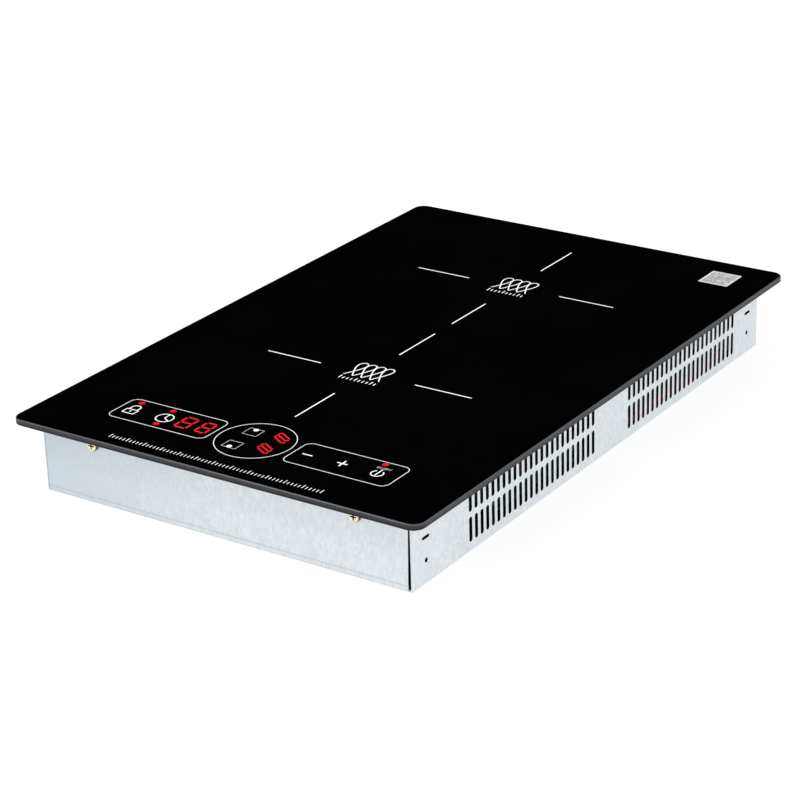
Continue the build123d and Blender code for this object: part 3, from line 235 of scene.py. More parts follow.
clear = add_node(floor_tree, "ShaderNodeBsdfTransparent")
sheet_or_clear = add_node(floor_tree, "ShaderNodeMixShader", {
    0: open_below, 1: both.outputs[0], 2: clear.outputs[0],
})
add_node(floor_tree, "ShaderNodeOutputMaterial", {"Surface": sheet_or_clear.outputs[0]})
floor_mesh.materials.append(floor_finish)
print("floor:", 2 * floor_reach, "m square")

# %% [markdown]
# ## Finishes
# Every finish is a Principled shader whose colour, roughness or bump varies over the surface, as
# real ones do. The variation reads Object coordinates, which are metres here, so a noise scale of
# 400 gives patches of about 2.5 mm. These helpers start a finish and mix its parts; the functions
# after them cover glass, sheet steel, plated metal, plastic, windings, insulation and boards.


# %% Finish helpers
def start_finish(name, roughness=0.5, metallic=0.0):
    """New material: its node tree, its Principled shader and the Object coordinates."""
    material = bpy.data.materials.new(name)
    material.use_nodes = True
    tree = material.node_tree
    shader = tree.nodes["Principled BSDF"]
    shader.inputs["Roughness"].default_value = roughness
    shader.inputs["Metallic"].default_value = metallic
    place = add_node(tree, "ShaderNodeTexCoord").outputs["Object"]
    return material, tree, shader, place


def stretched(tree, place, scale):
    """The coordinates multiplied axis by axis, which draws a pattern out along the small ones."""
    return add_node(tree, "ShaderNodeMapping", {"Vector": place, "Scale": scale}).outputs["Vector"]


def noise(tree, place, scale, detail=3.0, roughness=0.55):
    """Noise value around 0.5."""
    return add_node(tree, "ShaderNodeTexNoise", {
        "Vector": place, "Scale": scale, "Detail": detail, "Roughness": roughness,
    }).outputs["Fac"]


def spread(tree, value, low, high, start=0.3, stop=0.7):
    """Maps the useful middle of a noise value to the range from low to high."""
    return add_node(tree, "ShaderNodeMapRange", {
        "Value": value, "From Min": start, "From Max": stop, "To Min": low, "To Max": high,
    }).outputs["Result"]


def blend_colours(tree, factor, first, second):
    """Goes from the first colour to the second, each a socket or a colour as seen on a screen."""
    mix = add_node(tree, "ShaderNodeMix", {"Factor": factor}, data_type="RGBA")
    for socket, value in ((mix.inputs[6], first), (mix.inputs[7], second)):
        if isinstance(value, bpy.types.NodeSocket):
            tree.links.new(value, socket)
        else:
            socket.default_value = screen_colour(*value)
    return mix.outputs[2]


def add_bump(tree, shader, heights, strength, distance):
    """Bump from a height value; the distance is the relief in metres."""
    bump = add_node(tree, "ShaderNodeBump", {
        "Height": heights, "Strength": strength, "Distance": distance,
    })
    tree.links.new(bump.outputs["Normal"], shader.inputs["Normal"])


finishes = {}

# %% [markdown]
# ### Black glass
# The plate is glass-ceramic with black enamel baked to it: nearly pure black, with a polished
# top. Its edge is ground to a satin grey; its upper band and bevel are a lighter grey, a painted
# highlight, and a black line along the foot of the edge is painted shade. Where a face points
# and how high it lies tell all of these apart, so one material covers the whole plate.


# %% Black glass
glass_low, glass_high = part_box("glass_top")
# Height of the painted shade line at the foot of the edge, and where the lighter painted highlight band
# starts.
shade_line_top = glass_low.z + 0.0011
highlight_start = glass_low.z + 0.0024


def black_glass():
    """Polished black top over a ground grey edge, with a painted highlight on the bevel and upper band and
    painted shade at the foot.
    """
    material, tree, shader, place = start_finish("black_glass")
    normal = add_node(tree, "ShaderNodeNewGeometry").outputs["True Normal"]
    upward = add_node(tree, "ShaderNodeSeparateXYZ", {"Vector": normal}).outputs["Z"]
    height = add_node(tree, "ShaderNodeSeparateXYZ", {"Vector": place}).outputs["Z"]
    is_bevel = spread(tree, upward, 0.0, 1.0, 0.25, 0.45)
    is_top = spread(tree, upward, 0.0, 1.0, 0.93, 0.97)
    in_shade_line = spread(tree, height, 1.0, 0.0, shade_line_top - 0.0001, shade_line_top + 0.0002)
    in_highlight_band = spread(tree, height, 0.0, 1.0, highlight_start - 0.0004, highlight_start + 0.0004)
    grain = noise(tree, place, 900, 2.0)
    lower_grey = blend_colours(tree, grain, (36, 36, 40), (54, 54, 60))
    # The lighter upper band and bevel colours are painted highlight, and the near-black foot is painted
    # shade.
    band_highlight_grey = blend_colours(tree, grain, (50, 52, 56), (68, 70, 75))
    bevel_highlight_grey = blend_colours(tree, grain, (78, 81, 85), (98, 101, 106))
    edge = blend_colours(tree, in_highlight_band, lower_grey, band_highlight_grey)
    edge = blend_colours(tree, is_bevel, edge, bevel_highlight_grey)
    edge = blend_colours(tree, in_shade_line, edge, (3, 3, 3))
    cloud = spread(tree, noise(tree, place, 14, 3.0), 0.0, 1.0)
    top_black = blend_colours(tree, cloud, (1, 1, 2), (4, 4, 5))
    tree.links.new(blend_colours(tree, is_top, edge, top_black), shader.inputs["Base Color"])
    polish = spread(tree, noise(tree, place, 60, 4.0), 0.05, 0.09)
    ground_edge = add_node(tree, "ShaderNodeMix", {"Factor": is_top, "A": 0.38, "B": polish})
    tree.links.new(ground_edge.outputs["Result"], shader.inputs["Roughness"])
    tree.links.new(spread(tree, is_top, 0.22, 0.5, 0.0, 1.0), shader.inputs["Specular IOR Level"])
    shader.inputs["IOR"].default_value = 1.52
    return material


finishes["black_glass"] = black_glass()
print("glass edge:", round((glass_high.z - glass_low.z) * 1000, 2), "mm high")

# %% [markdown]
# ### Galvanised sheet
# Hot-dip zinc freezes into flat crystals, the spangle, each reflecting a little differently. A
# Voronoi texture gives every crystal its own value. Rolling leaves faint upright streaks on the
# walls. The end walls get painted shade towards one side, the press brake leaves a crease just
# above the fold that is darkened with painted shade, and the fold has a line of painted shade. The
# punched edges of the slots and the inside of the tray are painted near-black, as painted shade. A
# face inside points towards the middle of the tray, and a punched edge lies in a wall but doesn't
# face the way the wall does, so both can be told from position and direction.


# %% Galvanised sheet
tray_low, tray_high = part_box("housing_tray")
sheet_thickness = 0.0008
crease_height = 0.0038
slot_band = (0.0045, 0.0440)
# How far from the left end the painted shade on the end walls reaches.
end_shade_reach = 0.14
least_facing = 0.3             # how far a face has to point along an axis to count as facing it


def shade_mask_for_steel(tree, place):
    """1 on the tray's inner faces and punched edges, which get painted shade, 0 on its outer faces."""
    normal = add_node(tree, "ShaderNodeNewGeometry").outputs["True Normal"]
    facing = add_node(tree, "ShaderNodeSeparateXYZ", {"Vector": normal}).outputs
    position = add_node(tree, "ShaderNodeSeparateXYZ", {"Vector": place}).outputs
    in_slot_band = calculate(
        tree, "MULTIPLY",
        calculate(tree, "GREATER_THAN", position["Z"], slot_band[0]),
        calculate(tree, "LESS_THAN", position["Z"], slot_band[1]),
    )
    faces_up = calculate(tree, "GREATER_THAN", facing["Z"], least_facing)
    near_black_shade = calculate(tree, "MULTIPLY", faces_up, in_slot_band)
    base_inside = calculate(
        tree, "MULTIPLY", faces_up, calculate(tree, "LESS_THAN", position["Z"], 3 * sheet_thickness))
    near_black_shade = calculate(tree, "MAXIMUM", near_black_shade, base_inside)
    for axis, wall, other_axis, other_wall in (
        ("X", tray_high.x, "Y", tray_high.y), ("Y", tray_high.y, "X", tray_high.x),
    ):
        inwards = calculate(tree, "MULTIPLY", calculate(tree, "SIGN", position[axis]), facing[axis])
        in_wall = calculate(
            tree, "GREATER_THAN", calculate(tree, "ABSOLUTE", position[axis]), wall - 1.1 * sheet_thickness)
        faces_in = calculate(tree, "LESS_THAN", inwards, -least_facing)
        turned_in = calculate(tree, "MULTIPLY", faces_in, in_wall)
        sideways = calculate(tree, "LESS_THAN", calculate(tree, "ABSOLUTE", facing[axis]), least_facing)
        punched = calculate(tree, "MULTIPLY", calculate(tree, "MULTIPLY", sideways, in_wall), in_slot_band)
        away_from_corner = calculate(
            tree, "LESS_THAN", calculate(tree, "ABSOLUTE", position[other_axis]),
            other_wall - 0.9 * sheet_thickness)
        punched = calculate(tree, "MULTIPLY", punched, away_from_corner)
        near_black_shade = calculate(tree, "MAXIMUM", near_black_shade, calculate(tree, "MAXIMUM", turned_in, punched))
    return near_black_shade


def galvanised_steel():
    """Zinc spangle and rolling streaks, with painted shade at the fold, the crease, one end and the inner and
    punched faces.
    """
    material, tree, shader, place = start_finish("galvanised_steel", metallic=0.62)
    flattened = stretched(tree, place, (1.0, 1.0, 0.55))
    warp = add_node(tree, "ShaderNodeTexNoise", {"Vector": flattened, "Scale": 420.0, "Detail": 2.0})
    wobble = add_node(tree, "ShaderNodeVectorMath", {"Scale": 0.0016}, operation="SCALE")
    tree.links.new(warp.outputs["Color"], wobble.inputs[0])
    moved = add_node(tree, "ShaderNodeVectorMath", operation="ADD")
    tree.links.new(flattened, moved.inputs[0])
    tree.links.new(wobble.outputs[0], moved.inputs[1])
    crystals = add_node(tree, "ShaderNodeTexVoronoi", {"Vector": moved.outputs[0], "Scale": 560.0})
    crystal = add_node(tree, "ShaderNodeSeparateColor", {"Color": crystals.outputs["Color"]}).outputs["Red"]
    streaks = noise(tree, stretched(tree, place, (1.0, 1.0, 0.25)), 900, 4.0, 0.65)
    clouds = noise(tree, place, 38, 3.0)

    mottle = calculate(
        tree, "MULTIPLY_ADD", spread(tree, crystal, 0.0, 0.5, 0.0, 1.0), 0.9, spread(tree, streaks, 0.0, 0.5))
    zinc = blend_colours(tree, mottle, (212, 220, 225), (247, 250, 252))
    tint = spread(tree, clouds, 0.0, 0.35)
    zinc = blend_colours(tree, tint, zinc, (220, 228, 234))

    level = add_node(tree, "ShaderNodeSeparateXYZ", {"Vector": place}).outputs
    # A darker line at the crease, a press-brake mark darkened with painted shade, and painted shade along the
    # fold's lowest band.
    off_crease = calculate(tree, "ABSOLUTE", calculate(tree, "SUBTRACT", level["Z"], crease_height))
    on_crease = spread(tree, off_crease, 0.5, 0.0, 0.0001, 0.0005)
    fold_shade = spread(tree, level["Z"], 0.8, 0.0, 0.0004, 0.0009)
    facing_y = calculate(tree, "ABSOLUTE", add_node(tree, "ShaderNodeSeparateXYZ", {
        "Vector": add_node(tree, "ShaderNodeNewGeometry").outputs["True Normal"],
    }).outputs["Y"])
    on_end_wall = calculate(tree, "GREATER_THAN", facing_y, 0.5)
    on_crease = calculate(tree, "MULTIPLY", on_crease, on_end_wall)
    crease_and_fold_shade = calculate(tree, "MAXIMUM", on_crease, fold_shade)
    # Painted shade: the end walls are darker towards their left end.
    end_wall_shade = spread(tree, level["X"], 0.8, 0.0, tray_low.x, tray_low.x + end_shade_reach)
    end_wall_shade = calculate(tree, "MULTIPLY", end_wall_shade, on_end_wall)
    zinc = blend_colours(tree, end_wall_shade, zinc, (204, 214, 221))
    zinc = blend_colours(tree, crease_and_fold_shade, zinc, (168, 177, 182))
    # Inner faces and punched slot edges are painted near-black, as painted shade.
    near_black_shade = shade_mask_for_steel(tree, place)
    zinc = blend_colours(tree, near_black_shade, zinc, (8, 8, 9))
    tree.links.new(zinc, shader.inputs["Base Color"])
    tree.links.new(spread(tree, mottle, 0.40, 0.52, 0.0, 1.0), shader.inputs["Roughness"])
    tree.links.new(calculate(tree, "MULTIPLY_ADD", near_black_shade, -0.6, 0.62), shader.inputs["Metallic"])
    tree.links.new(spread(tree, near_black_shade, 0.5, 0.1, 0.0, 1.0), shader.inputs["Specular IOR Level"])
    add_bump(tree, shader, mottle, 0.3, 0.00004)
    return material


finishes["galvanised_steel"] = galvanised_steel()
print("tray walls:", round((tray_high.z - tray_low.z) * 1000, 1), "mm high")

# %% [markdown]
# ### Plated metals
# Screws, spacers, springs and fan windings are small metal parts whose surface varies slightly in
# tone and in how dull it is. One function makes them all from two tones and a roughness.


# %% Plated metals
def plated_metal(name, colour, darker, roughness, scale):
    """Metal with uneven plating: tone, dullness and relief follow the same noise."""
    material, tree, shader, place = start_finish(name, metallic=1.0)
    patches = noise(tree, place, scale, 4.0, 0.6)
    tone = spread(tree, patches, 0.0, 1.0)
    tree.links.new(blend_colours(tree, tone, darker, colour), shader.inputs["Base Color"])
    tree.links.new(spread(tree, patches, roughness + 0.1, roughness), shader.inputs["Roughness"])
    add_bump(tree, shader, patches, 0.2, 0.00003)
    return material


plated_parts = {
    "zinc_steel": ((214, 217, 222), (178, 182, 188), 0.3, 900),
    "nickel_brass": ((226, 208, 160), (196, 172, 120), 0.28, 900),
    "stator_copper": ((214, 140, 92), (168, 96, 58), 0.36, 1500),
}
for part_name, (colour, darker, roughness, scale) in plated_parts.items():
    finishes[part_name] = plated_metal(part_name, colour, darker, roughness, scale)
print("plated finishes:", len(plated_parts))

# %% [markdown]
# ### Cover screws
# The four cover screws are yellow-passivated: pale gold where the head is polished by handling,
# browner at its rim, with painted shade nearly black in the cross recess. The distance from the
# screw's own axis and from the wall tells the three apart. Absolute values fold all four into one.


# %% Cover screws
screw_low, screw_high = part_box("cover_screws")
screw_head_radius = (screw_high.z - screw_low.z) / 2
screw_middle_x = (screw_low.x + screw_high.x) / 2
screw_axis_x = screw_high.x - screw_head_radius - screw_middle_x
screw_axis_z = (screw_low.z + screw_high.z) / 2


def yellow_zinc():
    """Pale gold screw head with a brown rim and painted shade in its recess."""
    material, tree, shader, place = start_finish("yellow_zinc", metallic=0.9)
    position = add_node(tree, "ShaderNodeSeparateXYZ", {"Vector": place}).outputs
    from_middle = calculate(tree, "ABSOLUTE", calculate(tree, "SUBTRACT", position["X"], screw_middle_x))
    side = calculate(tree, "SUBTRACT", from_middle, screw_axis_x)
    rise = calculate(tree, "SUBTRACT", position["Z"], screw_axis_z)
    off_axis = calculate(tree, "SQRT", calculate(
        tree, "ADD", calculate(tree, "MULTIPLY", side, side), calculate(tree, "MULTIPLY", rise, rise)))
    depth = calculate(tree, "ABSOLUTE", position["Y"])
    patches = spread(tree, noise(tree, place, 900, 4.0, 0.6), 0.0, 1.0)
    gold = blend_colours(tree, patches, (232, 214, 152), (255, 254, 240))
    rim = spread(tree, off_axis, 0.0, 0.95, 0.80 * screw_head_radius, 0.97 * screw_head_radius)
    gold = blend_colours(tree, rim, gold, (84, 60, 30))
    # Painted shade: the cross recess is painted nearly black.
    recess_shade = calculate(
        tree, "MULTIPLY",
        spread(tree, depth, 1.0, 0.0, screw_high.y - 0.0002, screw_high.y - 0.0001),
        spread(tree, off_axis, 1.0, 0.0, 0.68 * screw_head_radius, 0.72 * screw_head_radius),
    )
    tree.links.new(blend_colours(tree, recess_shade, gold, (4, 3, 3)), shader.inputs["Base Color"])
    tree.links.new(spread(tree, patches, 0.34, 0.24, 0.0, 1.0), shader.inputs["Roughness"])
    tree.links.new(calculate(tree, "MULTIPLY_ADD", recess_shade, -0.9, 0.9), shader.inputs["Metallic"])
    return material


finishes["yellow_zinc"] = yellow_zinc()
print("screw head radius:", round(screw_head_radius * 1000, 2), "mm")

# %% [markdown]
# ### Moulded plastics and cast parts
# Moulded parts have a fine spark-eroded grain and small changes in gloss. Ferrite, ceramic and the
# capacitor sleeves are close enough to share it, each with its own colours and gloss.


# %% Moulded plastics
def moulded(name, colour, darker, roughness, scale=1400, relief=0.00004):
    """Fine-grained plastic or ceramic."""
    material, tree, shader, place = start_finish(name)
    grain = noise(tree, place, scale, 3.0, 0.6)
    clouds = noise(tree, place, scale / 24, 2.0)
    tree.links.new(
        blend_colours(tree, spread(tree, clouds, 0.0, 1.0), darker, colour), shader.inputs["Base Color"])
    tree.links.new(spread(tree, grain, roughness - 0.05, roughness + 0.07), shader.inputs["Roughness"])
    add_bump(tree, shader, grain, 0.3, relief)
    return material


moulded_parts = {
    "black_silicone": ((22, 22, 23), (16, 16, 17), 0.62),
    "white_moulding": ((236, 235, 229), (226, 224, 216), 0.45),
    "black_epoxy": ((40, 40, 43), (30, 30, 32), 0.38),
    "capacitor_case": ((186, 60, 40), (168, 48, 34), 0.32),
    "black_moulding": ((40, 40, 42), (31, 31, 33), 0.46),
    "terminal_moulding": ((238, 238, 232), (228, 227, 218), 0.42),
    "fuse_ceramic": ((236, 232, 222), (224, 218, 204), 0.35),
    "touch_foam": ((54, 54, 57), (40, 40, 43), 0.85),
    "ferrite": ((64, 63, 65), (46, 45, 48), 0.5),
}
for part_name, (colour, darker, roughness) in moulded_parts.items():
    finishes[part_name] = moulded(part_name, colour, darker, roughness)
print("moulded finishes:", len(moulded_parts))

# %% [markdown]
# ### Windings, mica and lead insulation
# A coil's litz wire is a rope of varnished strands, so its relief is a fine wave that runs along
# the turns. Mica paper is flaky and faintly golden. Lead insulation is smooth with a soft shine.


# %% Windings, mica and insulation
def litz_copper(name, colour, darker):
    """Varnished strands that run round each zone's middle: rings of a fine wave, broken by noise."""
    material, tree, shader, place = start_finish(name, roughness=0.38, metallic=0.85)
    position = add_node(tree, "ShaderNodeSeparateXYZ", {"Vector": place}).outputs
    front_middle, rear_middle = (
        sum(corner.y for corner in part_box(zone + "_coil_winding")) / 2 for zone in ("front", "rear"))
    between = calculate(tree, "SUBTRACT", position["Y"], (rear_middle + front_middle) / 2)
    folded = calculate(
        tree, "SUBTRACT", calculate(tree, "ABSOLUTE", between), (rear_middle - front_middle) / 2)
    centred = add_node(tree, "ShaderNodeCombineXYZ", {"X": position["X"], "Y": folded}).outputs["Vector"]
    strands = add_node(tree, "ShaderNodeTexWave", {
        "Vector": centred, "Scale": 420.0, "Distortion": 1.4, "Detail": 2.0, "Detail Scale": 1.5,
    }, wave_type="RINGS", rings_direction="Z").outputs["Fac"]
    tree.links.new(blend_colours(tree, strands, darker, colour), shader.inputs["Base Color"])
    add_bump(tree, shader, strands, 0.5, 0.0001)
    return material


def mica_paper():
    """Flaky, faintly golden sheet."""
    material, tree, shader, place = start_finish("mica", roughness=0.4)
    flakes = add_node(tree, "ShaderNodeTexVoronoi", {"Vector": place, "Scale": 420.0})
    tone = add_node(tree, "ShaderNodeSeparateColor", {"Color": flakes.outputs["Color"]}).outputs["Green"]
    tree.links.new(
        blend_colours(tree, tone, (206, 192, 158), (232, 222, 196)), shader.inputs["Base Color"])
    add_bump(tree, shader, tone, 0.2, 0.00002)
    return material


def lead_insulation(name, colour, darker):
    """Soft shiny insulation with faint handling marks."""
    material, tree, shader, place = start_finish(name)
    marks = noise(tree, place, 300, 4.0, 0.65)
    tree.links.new(
        blend_colours(tree, spread(tree, marks, 0.0, 1.0), darker, colour), shader.inputs["Base Color"])
    tree.links.new(spread(tree, marks, 0.34, 0.5), shader.inputs["Roughness"])
    return material


finishes["mica"] = mica_paper()
lead_colours = {
    "power_lead": ((150, 42, 30), (118, 32, 24)),
    "signal_lead": ((222, 221, 216), (198, 197, 190)),
    "earth_insulation": ((120, 190, 60), (92, 160, 44)),
}
for part_name, (colour, darker) in lead_colours.items():
    finishes[part_name] = lead_insulation(part_name, colour, darker)
finishes["wound_choke"] = moulded("wound_choke", (190, 118, 62), (150, 84, 42), 0.36, 2200, 0.0001)
finishes["litz_copper"] = litz_copper("litz_copper", (216, 138, 86), (140, 78, 46))
print("lead finishes:", len(lead_colours))

# %% [markdown]
# ### Boards and heatsinks
# A printed board is glass fibre under green lacquer: the copper tracks below show as slightly
# lighter stripes. The heatsinks are extruded, so fine die lines run along their length.


# %% Boards and heatsinks
def printed_board():
    """Green solder mask with lighter tracks under it."""
    material, tree, shader, place = start_finish("circuit_board", roughness=0.34)
    blocks = add_node(tree, "ShaderNodeTexVoronoi", {
        "Vector": place, "Scale": 190.0,
    }, distance="MANHATTAN", feature="F1")
    track = spread(tree, blocks.outputs["Distance"], 0.0, 1.0, 0.28, 0.34)
    tree.links.new(
        blend_colours(tree, track, (44, 116, 62), (24, 84, 44)),
        shader.inputs["Base Color"])
    add_bump(tree, shader, track, 0.2, 0.00004)
    return material


def extruded_aluminium():
    """Mill-finish aluminium with die lines along Y."""
    material, tree, shader, place = start_finish("heatsink_aluminium", metallic=1.0)
    lines = noise(tree, stretched(tree, place, (1.0, 0.04, 1.0)), 1600, 3.0)
    tone = spread(tree, lines, 0.0, 1.0)
    tree.links.new(
        blend_colours(tree, tone, (196, 198, 202), (226, 228, 231)),
        shader.inputs["Base Color"])
    tree.links.new(spread(tree, lines, 0.3, 0.42), shader.inputs["Roughness"])
    add_bump(tree, shader, lines, 0.25, 0.00003)
    return material


finishes["circuit_board"] = printed_board()
finishes["heatsink_aluminium"] = extruded_aluminium()
print("finishes so far:", len(finishes))

# %% [markdown]
# ### Lit and unlit display parts
# The display modules are dark red resin. A light that is on glows in its own colour, a little
# unevenly. The white ink is here too, with a faint painted glow, though ink is no lamp.


# %% Display finishes
def lit_red(name, strength):
    """Red resin that glows, slightly unevenly."""
    material, tree, shader, place = start_finish(name, roughness=0.35)
    patches = noise(tree, place, 500, 2.0)
    tone = spread(tree, patches, 0.0, 1.0)
    red = blend_colours(tree, tone, (236, 8, 18), (250, 16, 28))
    tree.links.new(red, shader.inputs["Emission Color"])
    shader.inputs["Specular IOR Level"].default_value = 0.1
    shader.inputs["Emission Strength"].default_value = strength
    shader.inputs["Base Color"].default_value = screen_colour(110, 6, 8)
    return material


# The ink's glow is painted light, since ink is no lamp.
painted_ink_glow = 0.3


def white_ink():
    """Fired white ceramic ink, uneven in cover, with a faint painted glow."""
    material, tree, shader, place = start_finish("white_ink", roughness=0.5)
    cover = spread(tree, noise(tree, place, 1200, 3.0), 0.0, 1.0)
    tree.links.new(
        blend_colours(tree, cover, (246, 247, 248), (254, 254, 254)),
        shader.inputs["Base Color"])
    shader.inputs["Emission Color"].default_value = screen_colour(255, 255, 255)
    shader.inputs["Emission Strength"].default_value = painted_ink_glow
    return material


finishes["display_module"] = moulded("display_module", (70, 20, 20), (50, 14, 14), 0.3)
finishes["red_light"] = lit_red("red_light", 0.85)
ink = white_ink()
print("all finishes:", len(finishes), "and the ink")

# %% [markdown]
# ## Dress the frame
# The record says which material slot each node takes its finish from, so one loop dresses all.

# %% Dress the frame
for part in frame["record"]["subparts"]:
    frame["nodes"][part["node"]].material_slots[0].material = finishes[part["material_slot"]]

# %% [markdown]
# ## The printing on the glass
# The printing is a film of white enamel about 0.03 mm thick. Every mark is a line of constant
# width that follows a path, so each is drawn as a flat curve, and one Geometry Nodes tree sweeps a
# low rectangle along all of them. That keeps the marks crisp at any distance, unlike a picture.


# %% Ink tree
def new_tree(name):
    """Empty Geometry Nodes tree with a geometry input and output."""
    tree = bpy.data.node_groups.new(name, "GeometryNodeTree")
    tree.is_modifier = True
    tree.interface.new_socket("Geometry", in_out="INPUT", socket_type="NodeSocketGeometry")
    tree.interface.new_socket("Geometry", in_out="OUTPUT", socket_type="NodeSocketGeometry")
    return tree


def add_input(tree, name, kind="NodeSocketFloat"):
    """Named input of a tree; returns its identifier, by which a modifier sets it."""
    return tree.interface.new_socket(name, in_out="INPUT", socket_type=kind).identifier


def end_tree(tree, geometry, material_socket):
    """Realize Instances, Set Material and the group's output."""
    real = add_node(tree, "GeometryNodeRealizeInstances", {"Geometry": geometry})
    painted = add_node(tree, "GeometryNodeSetMaterial", {
        "Geometry": real.outputs["Geometry"], "Material": material_socket,
    })
    add_node(tree, "NodeGroupOutput", {"Geometry": painted.outputs["Geometry"]})


line_tree = new_tree("printed_line")
line_width_id = add_input(line_tree, "Line Width")
line_film_id = add_input(line_tree, "Film Thickness")
line_finish_id = add_input(line_tree, "Finish", "NodeSocketMaterial")
given = add_node(line_tree, "NodeGroupInput").outputs
flat_normals = add_node(line_tree, "GeometryNodeSetCurveNormal", {"Curve": given["Geometry"]}, mode="Z_UP")
strip = add_node(line_tree, "GeometryNodeCurvePrimitiveQuadrilateral", {
    "Width": given["Line Width"], "Height": given["Film Thickness"],
})
swept = add_node(line_tree, "GeometryNodeCurveToMesh", {
    "Curve": flat_normals.outputs["Curve"], "Profile Curve": strip.outputs["Curve"], "Fill Caps": True,
})
end_tree(line_tree, swept.outputs["Mesh"], given["Finish"])
print("line tree nodes:", len(line_tree.nodes))

# %% [markdown]
# A modifier's inputs are set by socket identifier before the object is first evaluated. The
# evaluated result is then copied to a plain mesh, and the working object is thrown away.

# %% Bake and path helpers
mm = 0.001
film = 0.03 * mm
ink_level = glass_high.z + 0.008 * mm


def bake_piece(name, source, tree, values, body="cooktop"):
    """Runs a tree on a source object and keeps the result as a plain mesh that rides on a body."""
    bpy.context.scene.collection.objects.link(source)
    modifier = source.modifiers.new(tree.name, "NODES")
    modifier.node_group = tree
    for identifier, value in values.items():
        modifier[identifier] = value
    evaluated = source.evaluated_get(bpy.context.evaluated_depsgraph_get())
    mesh = bpy.data.meshes.new_from_object(evaluated)
    bpy.data.objects.remove(source)
    piece = bpy.data.objects.new(name, mesh)
    bpy.context.scene.collection.objects.link(piece)
    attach(piece, body)
    print(name, "faces:", len(mesh.polygons))
    return piece


def line(*points):
    """Open path through points given in millimetres."""
    return list(points), False


def arc(centre, radius, start, end, steps=20):
    """Open arc; angles in degrees from +X, anticlockwise."""
    angles = [math.radians(start + (end - start) * step / steps) for step in range(steps + 1)]
    return [(centre[0] + radius * math.cos(a), centre[1] + radius * math.sin(a)) for a in angles], False


def ring(centre, radius, steps=72):
    """Closed circle."""
    return arc(centre, radius, 0, 360 - 360 / steps, steps - 1)[0], True


def rounded_box(left, bottom, width, height, radius):
    """Closed rectangle with round corners."""
    points = []
    right, top = left + width, bottom + height
    for x, y, start in (
        (right - radius, bottom + radius, -90), (right - radius, top - radius, 0),
        (left + radius, top - radius, 90), (left + radius, bottom + radius, 180),
    ):
        points += arc((x, y), radius, start, start + 90, 8)[0]
    return points, True


def path_object(name, paths, level):
    """Curve object along paths given in millimetres, at a level given in metres."""
    curve = bpy.data.curves.new(name, "CURVE")
    curve.dimensions = "3D"
    for points, closed in paths:
        spline = curve.splines.new("POLY")
        spline.points.add(len(points) - 1)
        for knot, (x, y) in zip(spline.points, points):
            knot.co = (x * mm, y * mm, level, 1.0)
        spline.use_cyclic_u = closed
    return bpy.data.objects.new(name, curve)


def print_lines(name, paths, width, finish=ink):
    """Sweeps paths in millimetres into one printed piece."""
    source = path_object(name + "_path", paths, ink_level)
    values = {line_width_id: width * mm, line_film_id: film, line_finish_id: finish}
    return bake_piece(name, source, line_tree, values)


# %% [markdown]
# ### Cooking zones
# Each zone is marked by four lines that point at its middle, and by the usual induction sign, a
# coil drawn as leaning loops. The coil windings below give the zones' places along the plate.

# %% Cooking zones
zone_line_inner = 36.1
zone_line_outer = 77.9
zone_line_width = 0.95
zone_shift = 1.4
zone_middles = []
for zone in ("front", "rear"):
    low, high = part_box(zone + "_coil_winding")
    zone_middles.append((zone_shift, (low.y + high.y) / 2 / mm))

zone_paths = []
for x, y in zone_middles:
    for dx, dy in ((1, 0), (0, 1), (-1, 0), (0, -1)):
        zone_paths.append(line(
            (x + dx * zone_line_inner, y + dy * zone_line_inner),
            (x + dx * zone_line_outer, y + dy * zone_line_outer),
        ))
print_lines("zone_lines", zone_paths, zone_line_width)

# %% [markdown]
# The coil sign is a prolate trochoid, the path of a point on a wheel that is larger than the one
# that rolls. Tall loops come from stretching its height, and a second wave of twice the pace
# widens each loop towards its top.

# %% Induction sign
loop_pitch = 6.7
loop_half_width = 3.45
loop_swell = 1.48
loop_half_height = 10.3
sign_rise = 3.4
sign_start, sign_end = -0.2, 8 * math.pi
sign_steps = 130
sign_line_width = 0.86


def induction_sign(x, y):
    """Coil of four loops, open at both lower ends."""
    points = []
    for step in range(sign_steps + 1):
        angle = sign_start + (sign_end - sign_start) * step / sign_steps
        along = loop_pitch * (angle / (2 * math.pi) - 2)
        along += loop_half_width * math.sin(angle) - loop_swell * math.sin(2 * angle)
        points.append((x + along, y + sign_rise - loop_half_height * math.cos(angle)))
    return points, False


print_lines("induction_signs", [induction_sign(x, y) for x, y in zone_middles], sign_line_width)

# %% [markdown]
# Rows of plain upright bars fill the places where a maker prints words: one below each sign and
# one along the front edge. A row is a list of short lines, so the line tree draws it too.


# %% Bar rows
def bar_row(left, bottom, length, pitch, height, tall_height, tall_every):
    """Upright bars in a row, one in so many of them taller than the rest."""
    bars = []
    for index in range(int(length / pitch) + 1):
        x = left + index * pitch
        bars.append(line((x, bottom), (x, bottom + (height if index % tall_every else tall_height))))
    return bars


sign_bar_width, edge_bar_width = 0.72, 0.52
sign_bars = []
for x, y in zone_middles:
    sign_bars += bar_row(x - 12.9, y - 13.9, 27.0, 2.95, 3.1, 4.6, 4)
print_lines("sign_bars", sign_bars, sign_bar_width)
print_lines("edge_bars", bar_row(-78.6, -220.0, 158.0, 2.6, 3.0, 4.3, 5), edge_bar_width)

# %% [markdown]
# ### Control panels
# Thin outlines group the touch keys: a long rounded box on each side of a circle. The keys stand
# over the touch pads of the control board, so their line comes from the board's own parts.

# %% Panel outlines
pad_low, pad_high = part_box("touch_pads")
key_line = (pad_low.y + pad_high.y) / 2 / mm
panel_x = 1.8
panel_inner = 29.25
panel_outer = 103.4
panel_bottom = key_line - 14.0
panel_height = 29.0
panel_corner_radius = 5.0
panel_ring_radius = 25.1
outline_width = 0.46

